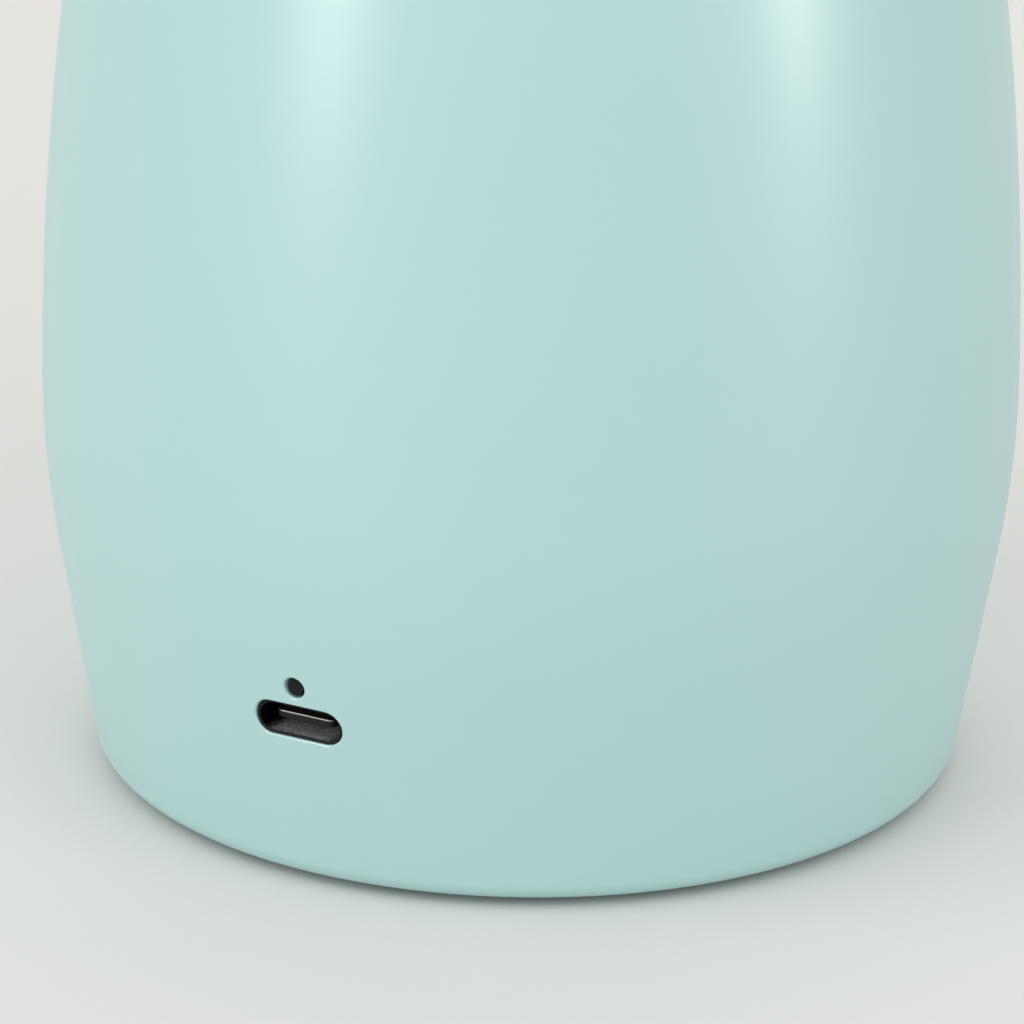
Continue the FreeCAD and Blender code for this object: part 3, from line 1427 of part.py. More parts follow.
os.makedirs("parts", exist_ok=True)
for name, piece in NODES.items():
    piece.Shape.exportStep(f"parts/{name}.step")
    bounds = piece.Shape.BoundBox
    print(
        f"{name:20s} solids {len(piece.Shape.Solids)} volume {piece.Shape.Volume / 1000:8.3f} cm3"
        f" x {bounds.XMin:.2f}..{bounds.XMax:.2f} y {bounds.YMin:.2f}..{bounds.YMax:.2f}"
        f" z {bounds.ZMin:.2f}..{bounds.ZMax:.2f}"
    )
print(len(NODES), "nodes")
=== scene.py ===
# %% [markdown]
# # A rechargeable milkshake mixer
#
# The mixer is a barrel-shaped motor base in glossy mint plastic, a clear jar that screws onto it, and a lid
# with a flip cap and a carry loop. The working model comes in as a fixed frame: every part is already at its
# real place and size, in metres, with +Z up, the power button towards -Y and the charging port towards +Y.
# This lesson gives those parts their finishes, and builds finer meshes where the plain model is too simple.

# %% Load the frame
import json
import math

import bpy
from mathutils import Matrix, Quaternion, Vector, geometry


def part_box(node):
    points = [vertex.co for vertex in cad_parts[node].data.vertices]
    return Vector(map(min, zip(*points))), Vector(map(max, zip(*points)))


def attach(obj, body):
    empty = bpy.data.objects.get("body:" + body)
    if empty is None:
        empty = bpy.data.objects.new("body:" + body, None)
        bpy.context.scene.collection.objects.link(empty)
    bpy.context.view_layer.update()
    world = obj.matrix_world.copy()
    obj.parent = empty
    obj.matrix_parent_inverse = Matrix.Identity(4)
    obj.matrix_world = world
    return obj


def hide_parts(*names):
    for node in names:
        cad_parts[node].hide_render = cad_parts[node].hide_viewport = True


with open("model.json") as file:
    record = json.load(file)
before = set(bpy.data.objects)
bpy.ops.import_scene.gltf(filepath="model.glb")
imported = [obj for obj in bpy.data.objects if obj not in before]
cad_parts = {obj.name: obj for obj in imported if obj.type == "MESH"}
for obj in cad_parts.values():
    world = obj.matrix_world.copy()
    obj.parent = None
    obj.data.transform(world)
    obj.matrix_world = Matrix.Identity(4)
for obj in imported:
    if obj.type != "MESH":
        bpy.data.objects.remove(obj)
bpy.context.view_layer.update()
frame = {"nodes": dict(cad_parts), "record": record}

MM = 0.001
print("parts in the frame:", len(frame["nodes"]))

# %% [markdown]
# ## Camera
#
# A product picture of a small thing is taken from about a metre away with a long lens, so that its sides stay
# nearly parallel. The camera stands behind the mixer, a little above it, where the charging port shows left of
# the middle, and it comes in close on the lower half of the base.

# %% Camera behind the base, about 21 degrees up
VIEW_AZIMUTH, VIEW_ELEVATION, VIEW_ROLL = math.radians(208.7), math.radians(21.3), math.radians(0.72)
VIEW_DISTANCE = 941 * MM
LENS, SENSOR = 349.0, 36.0
AIM_RIGHT, AIM_HEIGHT = -1.6 * MM, 23.45 * MM

scene = bpy.context.scene
right = Vector((math.cos(VIEW_AZIMUTH), math.sin(VIEW_AZIMUTH), 0))
back = Vector(
    (
        math.sin(VIEW_AZIMUTH) * math.cos(VIEW_ELEVATION),
        -math.cos(VIEW_AZIMUTH) * math.cos(VIEW_ELEVATION),
        math.sin(VIEW_ELEVATION),
    )
)
aim = right * AIM_RIGHT + Vector((0, 0, AIM_HEIGHT))
camera = bpy.data.objects.new("camera", bpy.data.cameras.new("camera"))
scene.collection.objects.link(camera)
camera.location = aim + back * VIEW_DISTANCE
camera.rotation_mode = "QUATERNION"
camera.rotation_quaternion = Quaternion(back, VIEW_ROLL) @ (-back).to_track_quat("-Z", "Y")
camera.data.lens, camera.data.sensor_width = LENS, SENSOR
camera.data.clip_start, camera.data.clip_end = 0.01, 20
scene.camera = camera
print("camera at mm:", [round(place / MM) for place in camera.location])

# %% [markdown]
# ## Helpers for finishes
#
# Colours are written as the hex codes that a paint chart gives. Those are sRGB, and shaders work in linear
# light, so one function converts them. Another adds a shader node with its settings and links, and a third
# starts a finish with one principled shader. That keeps each finish below short enough to read as a recipe.

# %% Colour, node and finish helpers


def linear(hex_code):
    """An sRGB hex colour as linear red, green, blue and alpha."""
    channels = [int(hex_code[i:i + 2], 16) / 255 for i in (1, 3, 5)]
    return tuple(c / 12.92 if c <= 0.04045 else ((c + 0.055) / 1.055) ** 2.4 for c in channels) + (1.0,)


def add(tree, kind, settings, links):
    """Adds one node. settings are its attributes, or input values by name or number. links feed its inputs."""
    node = tree.nodes.new(kind)
    for key, value in settings.items():
        if isinstance(key, str) and hasattr(node, key):
            setattr(node, key, value)
        else:
            node.inputs[key].default_value = value
    for key, socket in links.items():
        tree.links.new(socket, node.inputs[key])
    return node


def start_finish(name, settings):
    """A new material with a principled shader, and the object's own coordinates to place patterns with."""
    material = bpy.data.materials.new(name)
    material.use_nodes = True
    tree = material.node_tree
    tree.nodes.clear()
    shader = add(tree, "ShaderNodeBsdfPrincipled", settings, {})
    add(tree, "ShaderNodeOutputMaterial", {}, {"Surface": shader.outputs["BSDF"]})
    place = add(tree, "ShaderNodeTexCoord", {}, {}).outputs["Object"]
    return material, tree, shader, place


def per_metre(size_mm):
    """The scale at which a pattern's features come out size_mm across, on an object measured in metres."""
    return 1 / (size_mm * MM)


# %% [markdown]
# ## Floor, room and light
#
# Glossy plastic shows the lamps more than its own colour, so the lamps make the look. Two tall soft boxes, one
# on each side of the camera, give the two broad streaks that run down a barrel like this. A pale room brightens
# the skin towards both edges, where every glossy surface reflects most, and a big lamp on the left makes the
# floor fall off gently to the right.

# %% Pale room
scene.view_settings.view_transform = "Standard"
ROOM_GREY, ROOM_STRENGTH = "#E5E5E4", 0.97
world = bpy.data.worlds.new("pale_room")
world.use_nodes = True
scene.world = world
world.node_tree.nodes["Background"].inputs["Color"].default_value = linear(ROOM_GREY)
world.node_tree.nodes["Background"].inputs["Strength"].default_value = ROOM_STRENGTH

# %% Matt paper floor
FLOOR_HALF = 3.0
floor_mesh = bpy.data.meshes.new("floor")
floor_corners = [(x * FLOOR_HALF, y * FLOOR_HALF, 0) for x, y in ((-1, -1), (1, -1), (1, 1), (-1, 1))]
floor_mesh.from_pydata(floor_corners, [], [(0, 1, 2, 3)])
floor = bpy.data.objects.new("floor", floor_mesh)
scene.collection.objects.link(floor)

paper, tree, shader, place = start_finish("uncoated backdrop paper", {"Roughness": 0.95, "IOR": 1.5})
fibres = add(tree, "ShaderNodeTexNoise", {"Scale": per_metre(0.8), "Detail": 2.0}, {"Vector": place})
tone = add(
    tree,
    "ShaderNodeMix",
    {"data_type": "RGBA", 6: linear("#E2E1DE"), 7: linear("#E4E3E0")},
    {0: fibres.outputs["Fac"]},
)
tree.links.new(tone.outputs[2], shader.inputs["Base Color"])
floor_mesh.materials.append(paper)

# %% Lamps


def soft_box(name, turn, distance, height, size, power, only_gloss=False):
    """A rectangular lamp that faces the base. turn is its azimuth from the camera's, positive to the right."""
    lamp = bpy.data.lights.new(name, "AREA")
    lamp.shape, lamp.size, lamp.size_y, lamp.energy = "RECTANGLE", *size, power
    holder = bpy.data.objects.new(name, lamp)
    scene.collection.objects.link(holder)
    angle = VIEW_AZIMUTH + math.radians(turn)
    holder.location = (distance * math.sin(angle), -distance * math.cos(angle), height)
    holder.visible_camera, holder.visible_diffuse = False, not only_gloss
    holder.rotation_mode = "QUATERNION"
    holder.rotation_quaternion = (Vector((0, 0, 60 * MM)) - holder.location).to_track_quat("-Z", "Y")
    return holder


lamps = [
    soft_box("left_box", -50, 1.5, 0.46, (0.17, 1.0), 16.0, only_gloss=True),
    soft_box("right_box", 65, 1.5, 0.46, (0.17, 1.0), 23.0, only_gloss=True),
    soft_box("front_fill", 35, 1.5, 1.0, (1.4, 1.4), 5.5),
    soft_box("wide_left", -62, 1.4, 0.9, (1.4, 1.4), 7.5),
    soft_box("overhead", 170, 0.9, 1.3, (1.4, 1.4), 3.0),
]
print("lamps:", [(lamp.name, lamp.data.energy) for lamp in lamps])

# %% [markdown]
# ## Finishes for the plastics
#
# Most of the mixer is injection moulded. A moulded skin copies the steel of its mould: polished steel gives
# gloss, and spark-eroded steel a fine satin. Two things are the same on all of them. The pigment is never
# perfectly even, which shows as clouds a few centimetres wide, and the skin has a faint waviness where the
# plastic shrank over the ribs behind it; the recipe draws the clouds but not the waviness. So one recipe makes
# them all, and each call gives its own resin, colours and texture. The real texture is 0.02 to 0.1 mm, too fine
# to show, so it is drawn at 0.2 mm or more.

# %% One recipe for moulded plastic and rubber


def moulded(name, colours, gloss, settings, grain_mm=0.25, grain_depth_mm=0.004, cloud_mm=30):
    """A moulded skin: clouds between two colours, roughness between two values, and a fine bumpy grain."""
    material, tree, shader, place = start_finish(name, settings)
    clouds = add(tree, "ShaderNodeTexNoise", {"Scale": per_metre(cloud_mm), "Detail": 1.0}, {"Vector": place})
    grain = add(tree, "ShaderNodeTexNoise", {"Scale": per_metre(grain_mm), "Detail": 2.0}, {"Vector": place})
    colour = add(
        tree,
        "ShaderNodeMix",
        {"data_type": "RGBA", 6: linear(colours[0]), 7: linear(colours[1])},
        {0: clouds.outputs["Fac"]},
    )
    sheen = add(
        tree, "ShaderNodeMapRange", {"To Min": gloss[0], "To Max": gloss[1]}, {"Value": grain.outputs["Fac"]}
    )
    relief = add(
        tree,
        "ShaderNodeBump",
        {"Strength": 0.5, "Distance": grain_depth_mm * MM},
        {"Height": grain.outputs["Fac"]},
    )
    tree.links.new(colour.outputs[2], shader.inputs["Base Color"])
    tree.links.new(sheen.outputs["Result"], shader.inputs["Roughness"])
    tree.links.new(relief.outputs["Normal"], shader.inputs["Normal"])
    return material


FINISHES = {
    # Semi-gloss ABS from a polished mould: soft-edged reflections over an opaque, slightly milky colour.
    "mint_shell": moulded("moulded ABS, semi-gloss mint", ("#B1D6D5", "#B5D9D8"), (0.30, 0.38), {"IOR": 1.54}),
    # The same ABS from spark-eroded steel: no clear reflections, and a little paler.
    "mint_cover": moulded("moulded ABS, satin mint", ("#A8CECE", "#AED2D2"), (0.5, 0.62), {"IOR": 1.54}),
    # White ABS with a faint gloss, so that the button catches light along its edge.
    "white_trim": moulded("moulded ABS, white", ("#E9EBEA", "#EEF0EF"), (0.28, 0.36), {"IOR": 1.54}),
    # Polypropylene is waxy: light enters it a little way, and its reflections are broader than on ABS.
    "lid_plastic": moulded(
        "moulded polypropylene, mint",
        ("#B1D6D5", "#B5D9D8"),
        (0.34, 0.44),
        {"IOR": 1.49, "Subsurface Weight": 0.12, "Subsurface Scale": 0.8 * MM},
    ),
    "deck_plastic": moulded("moulded ABS, satin grey-green", ("#BCD6D4", "#C3DAD8"), (0.42, 0.52), {"IOR": 1.54}),
    # Glass-filled nylon: dark, dry, with pale fibre ends at the surface.
    "inner_plastic": moulded(
        "moulded glass-filled nylon", ("#1B1C1E", "#2A2B2D"), (0.55, 0.7), {"IOR": 1.53}, 0.4, 0.01, 1.5
    ),
    # Silicone stays matt and slightly cloudy, and holds fine dust.
    "grey_silicone": moulded(
        "moulded silicone, grey",
        ("#8C9191", "#969B9B"),
        (0.62, 0.75),
        {"IOR": 1.41, "Subsurface Weight": 0.1, "Subsurface Scale": 1.0 * MM},
        0.3,
        0.006,
        12,
    ),
    "black_rubber": moulded("moulded nitrile rubber", ("#121213", "#1A1A1B"), (0.6, 0.75), {"IOR": 1.52}, 0.3, 0.01, 6),
    "component_black": moulded("moulded epoxy, black", ("#151517", "#202023"), (0.5, 0.65), {"IOR": 1.55}, 0.2, 0.006, 2),
    "plunger_grey": moulded("moulded nylon, grey", ("#727374", "#7A7B7C"), (0.45, 0.55), {"IOR": 1.53}),
    "smoked_guide": moulded(
        "moulded polycarbonate, smoked",
        ("#08090B", "#0C0D10"),
        (0.3, 0.4),
        {"IOR": 1.58, "Specular IOR Level": 0.15},
    ),
    "lead_red": moulded("extruded PVC, red", ("#A81712", "#B81C16"), (0.4, 0.5), {"IOR": 1.53}, 0.3, 0.004, 5),
    "lead_black": moulded("extruded PVC, black", ("#0E0E0F", "#151516"), (0.4, 0.5), {"IOR": 1.53}, 0.3, 0.004, 5),
    # A heat-shrunk film on each cell, smooth, with slow ripples.
    "cell_wrap": moulded("shrunk PVC film, blue", ("#275A9E", "#2E64AA"), (0.22, 0.32), {"IOR": 1.54}, 2.5, 0.03, 14),
    "carbon": moulded("pressed carbon", ("#131313", "#242424"), (0.5, 0.7), {"IOR": 1.8}, 0.15, 0.01, 0.6),
    "ferrite": moulded("sintered ferrite", ("#1D1D1E", "#2B2B2C"), (0.55, 0.75), {"IOR": 2.0}, 0.2, 0.015, 0.8),
    # A lamp's epoxy lens over its yellow phosphor.
    "led_white": moulded("cast epoxy, phosphor white", ("#F0EED4", "#F3F2E2"), (0.2, 0.3), {"IOR": 1.52}, 0.2, 0.002, 1),
}
print("plastics:", len(FINISHES))

# %% [markdown]
# ## Finishes for the metals
#
# A metal's colour is in its reflections, and how it was made decides how blurred they are. Turned and ground
# pieces carry rings round their axis, rolled sheet carries fine lines along its length, and blasted or plated
# pieces are evenly mottled. The lines are about 0.05 mm apart on the real pieces and are drawn at 0.15 mm or
# more. A metal keeps the default index of refraction, because only its colour and roughness matter.

# %% One recipe for metals


def worked_metal(name, colours, gloss, stretch, grain_mm=0.2, grain_depth_mm=0.003):
    """Bare or plated metal. stretch squeezes the grain along X, Y and Z: a small value draws it into lines."""
    material, tree, shader, place = start_finish(name, {"Metallic": 1.0})
    run = add(tree, "ShaderNodeMapping", {"Scale": stretch}, {"Vector": place})
    grain = add(
        tree, "ShaderNodeTexNoise", {"Scale": per_metre(grain_mm), "Detail": 3.0}, {"Vector": run.outputs["Vector"]}
    )
    stain = add(tree, "ShaderNodeTexNoise", {"Scale": per_metre(8), "Detail": 2.0}, {"Vector": place})
    colour = add(
        tree,
        "ShaderNodeMix",
        {"data_type": "RGBA", 6: linear(colours[0]), 7: linear(colours[1])},
        {0: stain.outputs["Fac"]},
    )
    sheen = add(
        tree, "ShaderNodeMapRange", {"To Min": gloss[0], "To Max": gloss[1]}, {"Value": grain.outputs["Fac"]}
    )
    relief = add(
        tree,
        "ShaderNodeBump",
        {"Strength": 0.4, "Distance": grain_depth_mm * MM},
        {"Height": grain.outputs["Fac"]},
    )
    tree.links.new(colour.outputs[2], shader.inputs["Base Color"])
    tree.links.new(sheen.outputs["Result"], shader.inputs["Roughness"])
    tree.links.new(relief.outputs["Normal"], shader.inputs["Normal"])
    return material


EVEN, RINGS, ALONG_X = (1, 1, 1), (0.05, 0.05, 1), (0.04, 1, 1)
FINISHES |= {
    # Blasted stainless steel: evenly grey, with a soft glow instead of sharp reflections.
    "stainless": worked_metal("blasted stainless steel", ("#B9B8B4", "#C4C3C0"), (0.24, 0.38), EVEN),
    # Socket screws: steel, phosphated or black zinc plated, dark with a dull shine.
    "screw_steel": worked_metal("black zinc-plated steel", ("#4A4A4C", "#58585A"), (0.35, 0.5), EVEN, 0.3, 0.006),
    "plated_steel": worked_metal("zinc-plated steel", ("#A9ACAE", "#B9BBBB"), (0.28, 0.45), ALONG_X, 0.2, 0.003),
    "bearing_steel": worked_metal("ground bearing steel", ("#C3C4C6", "#CFCFD0"), (0.08, 0.18), RINGS, 0.15, 0.001),
    # Nickel plating on stamped steel is slightly yellow and nearly a mirror.
    "nickel": worked_metal("nickel-plated steel", ("#B8B2A4", "#C6C0B3"), (0.16, 0.28), ALONG_X, 0.15, 0.002),
    "brass": worked_metal("turned brass", ("#C3A05A", "#CFAE6A"), (0.16, 0.3), RINGS, 0.2, 0.004),
    "bronze": worked_metal("sintered bronze", ("#9C7448", "#AB8152"), (0.4, 0.6), EVEN, 0.25, 0.015),
    "copper": worked_metal("enamelled copper wire", ("#A9562E", "#BC6A3C"), (0.2, 0.35), RINGS, 0.5, 0.03),
    "core_steel": worked_metal("stacked silicon steel sheets", ("#66676A", "#77787B"), (0.35, 0.5), RINGS, 0.5, 0.02),
}
print("finishes so far:", len(FINISHES))

# %% [markdown]
# ## Clear and frosted pieces, circuit boards
#
# The jar is copolyester, as clear as glass but softer, so it bends light a little more than water does and shows
# the faint flow waves of its mould. The ring round the button is acrylic with a frosted face, which spreads the
# light of the four lamps behind it. The boards are fibreglass under green solder mask, and the weave shows
# through the mask as a fine square relief.

# %% Clear, frosted and board finishes


def clear_jar():
    """Clear copolyester: full transmission, a trace of blue-green, and slow waves from the mould."""
    material, tree, shader, place = start_finish(
        "moulded copolyester, clear",
        {"Base Color": linear("#F2FAF9"), "Roughness": 0.03, "IOR": 1.57, "Transmission Weight": 1.0},
    )
    waves = add(tree, "ShaderNodeTexNoise", {"Scale": per_metre(18), "Detail": 1.0}, {"Vector": place})
    relief = add(
        tree, "ShaderNodeBump", {"Strength": 0.25, "Distance": 0.15 * MM}, {"Height": waves.outputs["Fac"]}
    )
    tree.links.new(relief.outputs["Normal"], shader.inputs["Normal"])
    return material


def frosted_ring():
    """Acrylic with an etched face: milky, and blurred right through."""
    material, tree, shader, place = start_finish(
        "moulded acrylic, frosted",
        {
            "Base Color": linear("#EEF4F4"),
            "IOR": 1.49,
            "Transmission Weight": 0.45,
            "Subsurface Weight": 0.3,
            "Subsurface Scale": 1.5 * MM,
        },
    )
    etching = add(tree, "ShaderNodeTexNoise", {"Scale": per_metre(0.2), "Detail": 2.0}, {"Vector": place})
    sheen = add(tree, "ShaderNodeMapRange", {"To Min": 0.4, "To Max": 0.6}, {"Value": etching.outputs["Fac"]})
    tree.links.new(sheen.outputs["Result"], shader.inputs["Roughness"])
    return material


def solder_mask():
    """Green lacquer over fibreglass, whose threads cross every 0.4 mm."""
    material, tree, shader, place = start_finish("solder mask on fibreglass", {"IOR": 1.55, "Roughness": 0.3})
    weave = add(tree, "ShaderNodeTexChecker", {"Scale": per_metre(0.4)}, {"Vector": place})
    pooled = add(tree, "ShaderNodeTexNoise", {"Scale": per_metre(5), "Detail": 2.0}, {"Vector": place})
    colour = add(
        tree,
        "ShaderNodeMix",
        {"data_type": "RGBA", 6: linear("#14512C"), 7: linear("#1B6337")},
        {0: pooled.outputs["Fac"]},
    )
    relief = add(
        tree, "ShaderNodeBump", {"Strength": 0.3, "Distance": 0.01 * MM}, {"Height": weave.outputs["Fac"]}
    )
    tree.links.new(colour.outputs[2], shader.inputs["Base Color"])
    tree.links.new(relief.outputs["Normal"], shader.inputs["Normal"])
    return material


FINISHES |= {"jar_clear": clear_jar(), "light_guide": frosted_ring(), "board_green": solder_mask()}

# %% Give every part its finish
for subpart in frame["record"]["subparts"]:
    part = frame["nodes"][subpart["node"]]
    for slot in part.material_slots:
        slot.material = FINISHES[subpart["material_slot"]]

# %% [markdown]
# ## The mint housing
#
# The housing is one injection moulding in ABS, turned about the spindle's axis, with a slot for the charging
# socket, a pinhole for the charge light and a round hole for the power button. A glossy skin shows every flaw in
# a mesh, so cutting the holes with booleans would leave kinks in the highlights. Instead the skin round each
# hole is laid out flat, as height against angle, and triangulated around the hole's outline. Every point is then
# bent onto the turned profile and is given the profile's own normal, so that highlights run as smoothly as on
# the mould. Each hole gets a small rounded lip, because a mould has no knife edges.

# %% Housing dimensions
housing_low, housing_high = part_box("base_housing")
BELLY_RADIUS = 46.0 * MM
FOOT, RIM = housing_low.z, housing_high.z
BELLY_HEIGHT, TAPER_DROP, LEAN = 38.1 * MM, 15.9 * MM, 0.175
LONG_ARC, EDGE_ROUND, WALL = 322.0 * MM, 2.2 * MM, 2.2 * MM
UPRIGHT = math.sqrt(1 - LEAN**2)
LOW_ARC = TAPER_DROP / LEAN
KNEE_HEIGHT = BELLY_HEIGHT - TAPER_DROP
KNEE_RADIUS = BELLY_RADIUS - LOW_ARC * (1 - UPRIGHT)


def skin(height, inset=0.0):
    """Radius of the housing's skin at a height, and its outward normal's radial and upward parts."""
    if height >= BELLY_HEIGHT:
        arc, rise = LONG_ARC - inset, height - BELLY_HEIGHT
        reach = math.sqrt(arc**2 - rise**2)
        return BELLY_RADIUS - LONG_ARC + reach, reach / arc, rise / arc
    arc, drop = LOW_ARC - inset, BELLY_HEIGHT - height
    if drop <= arc * LEAN:
        reach = math.sqrt(arc**2 - drop**2)
        return BELLY_RADIUS - LOW_ARC + reach, reach / arc, -drop / arc
    radius = KNEE_RADIUS - inset / UPRIGHT - (KNEE_HEIGHT - height) * LEAN / UPRIGHT
    return radius, UPRIGHT, -LEAN


print("housing radius in mm at foot, belly and rim:", [round(skin(h)[0] / MM, 2) for h in (FOOT, BELLY_HEIGHT, RIM)])

# %% [markdown]
# The profile is a list of rows. Each row is a radius, a height and the surface's normal there. At a sharp corner
# the same place comes twice, once with each side's normal, and the mesh shares its points but not its shading.

# %% Profile rows, from the bottom edge up the outside and down the inside
RIM_ROUND = 0.5 * MM
COLLAR_BORE, LIP_BORE, COVER_BORE = 36.7 * MM, 31.0 * MM, 34.1 * MM
LIP_UNDER, LIP_OVER, INNER_TOP = 3.4 * MM, 5.4 * MM, 105.0 * MM


def spread(start, stop, count):
    """Evenly spaced values from start to stop, both included."""
    return [start + (stop - start) * k / count for k in range(count + 1)]


def bend(radius, height, round_radius, start, stop, steps):
    """Rows round a small arc of the profile, with angles in degrees from outwards towards upwards."""
    turns = [math.radians(angle) for angle in spread(start, stop, steps)]
    return [
        (radius + round_radius * math.cos(a), height + round_radius * math.sin(a), math.cos(a), math.sin(a))
        for a in turns
    ]


def skin_rows(heights, inset=0.0):
    rows = []
    for height in heights:
        radius, across, up = skin(height, inset)
        facing = -1 if inset else 1
        rows.append((radius, height, across * facing, up * facing))
    return rows


foot_radius, lean_angle = skin(FOOT)[0], math.degrees(math.asin(LEAN))
edge_reach = EDGE_ROUND * (1 - LEAN) / UPRIGHT
rows = bend(foot_radius - edge_reach, FOOT + EDGE_ROUND, EDGE_ROUND, -90, -lean_angle, 8)
outer_start = len(rows)
rows += skin_rows(spread(FOOT + EDGE_ROUND * (1 - LEAN), KNEE_HEIGHT, 20)[1:-1])
rows += skin_rows(spread(KNEE_HEIGHT, BELLY_HEIGHT, 14)[:-1])
rows += skin_rows(spread(BELLY_HEIGHT, RIM - RIM_ROUND, 60)[:-1])
outer_stop = len(rows)
rows += bend(skin(RIM - RIM_ROUND)[0] - RIM_ROUND, RIM - RIM_ROUND, RIM_ROUND, 10, 90, 5)
rows += [(COLLAR_BORE, RIM, 0, 1), (COLLAR_BORE, RIM, -1, 0)]
inner_start = len(rows)
rows += skin_rows(reversed(spread(LIP_OVER, INNER_TOP, 50)), WALL)
inner_stop = len(rows)
rows += [(rows[-1][0], LIP_OVER, 0, 1), (LIP_BORE, LIP_OVER, 0, 1), (LIP_BORE, LIP_OVER, -1, 0)]
rows += [(LIP_BORE, LIP_UNDER, -1, 0), (LIP_BORE, LIP_UNDER, 0, -1), (COVER_BORE, LIP_UNDER, 0, -1)]
rows += [(COVER_BORE, LIP_UNDER, -1, 0), (COVER_BORE, FOOT, -1, 0), (COVER_BORE, FOOT, 0, -1)]
print("profile rows:", len(rows))

# %% [markdown]
# A small class collects points and faces, and remembers a normal for each corner of each face. Turned pieces and
# the patches around the holes both go through it, so they end as one closed mesh.

# %% A mesh with its own normals
COLUMNS = 288
TURN = 2 * math.pi


class Shell:
    """Points, faces, and one normal for each face corner, to be made into an object at the end."""

    def __init__(self):
        self.points, self.faces, self.normals = [], [], []

    def point(self, place):
        self.points.append(place)
        return len(self.points) - 1

    def face(self, corners, flip=False):
        """Adds a face from (point, normal) corners, which run anticlockwise as seen from outside."""
        corners = list(reversed(corners)) if flip else corners
        self.faces.append([corner[0] for corner in corners])
        self.normals += [tuple(corner[1]) for corner in corners]

    def build(self, name):
        mesh = bpy.data.meshes.new(name)
        mesh.from_pydata([tuple(place) for place in self.points], [], self.faces)
        mesh.polygons.foreach_set("use_smooth", [True] * len(mesh.polygons))
        mesh.normals_split_custom_set(self.normals)
        piece = bpy.data.objects.new(name, mesh)
        scene.collection.objects.link(piece)
        return piece


def turned_place(radius, height, angle):
    """A point of a turned piece: angle 0 is the front, at -Y, and it grows towards +X."""
    return Vector((radius * math.sin(angle), -radius * math.cos(angle), height))


# %% Outlines of the holes
LIP_ROUND = 0.22 * MM
HOLE_PLAY = 0.1 * MM
RING_RADIUS = 11.6 * MM


def slot_outline(width, height, centre_height, steps):
    """(x, z, outward x, outward z) along a slot with half-round ends, or a circle if it is as wide as tall."""
    end = height / 2
    outline = []
    for side, start in ((1, -90), (-1, 90)):
        for angle in spread(math.radians(start), math.radians(start + 180), steps)[:-1 if width == height else None]:
            across, up = math.cos(angle), math.sin(angle)
            outline.append((side * (width / 2 - end) + end * across, centre_height + end * up, across, up))
    return outline


def widened(outline, grow):
    return [(x + across * grow, z + up * grow, across, up) for x, z, across, up in outline]


def size_and_centre(node):
    low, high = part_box(node)
    return high - low, (low + high) / 2


port_size, port_centre = size_and_centre("usb_shell")
guide_size, _guide_centre = size_and_centre("charge_light_pipe")
button_centre = size_and_centre("power_button")[1]
LIGHT_HEIGHT = 21.05 * MM
port_hole = slot_outline(port_size.x + 2 * HOLE_PLAY, port_size.z + 2 * HOLE_PLAY, port_centre.z, 14)
light_hole = slot_outline(guide_size.x + HOLE_PLAY, guide_size.x + HOLE_PLAY, LIGHT_HEIGHT, 18)
ring_width = 2 * RING_RADIUS + HOLE_PLAY
button_hole = slot_outline(ring_width, ring_width, button_centre.z, 48)
print("port slot in mm:", [round(side / MM, 2) for side in (port_size.x, port_size.z)], "at", round(port_centre.z / MM, 2))

# %% [markdown]
# The skin is a grid of rows and columns with a window left open round each group of holes. A constrained
# Delaunay triangulation then fills the window between its frame and the outlines. It works in millimetres on the
# flat layout, where its tolerance is meaningful.

# %% Fill a window around its holes
KEEP_OFF = 0.45 * MM


def encloses(outline, x, z):
    """True if (x, z) lies inside the outline, by counting the edges that a level line crosses."""
    within = False
    for (ax, az, *_a), (bx, bz, *_b) in zip(outline, outline[1:] + outline[:1]):
        if (az > z) != (bz > z) and x < ax + (z - az) / (bz - az) * (bx - ax):
            within = not within
    return within


def skin_point(shell, x, z, front, inset):
    """A new point of the skin with this x and height, with its angle and its normal."""
    radius, across, up = skin(z, inset)
    angle = math.asin(x / radius) if front else math.pi - math.asin(x / radius)
    facing = -1 if inset else 1
    normal = turned_place(across * facing, up * facing, angle)
    return angle, (shell.point(turned_place(radius, z, angle)), normal)


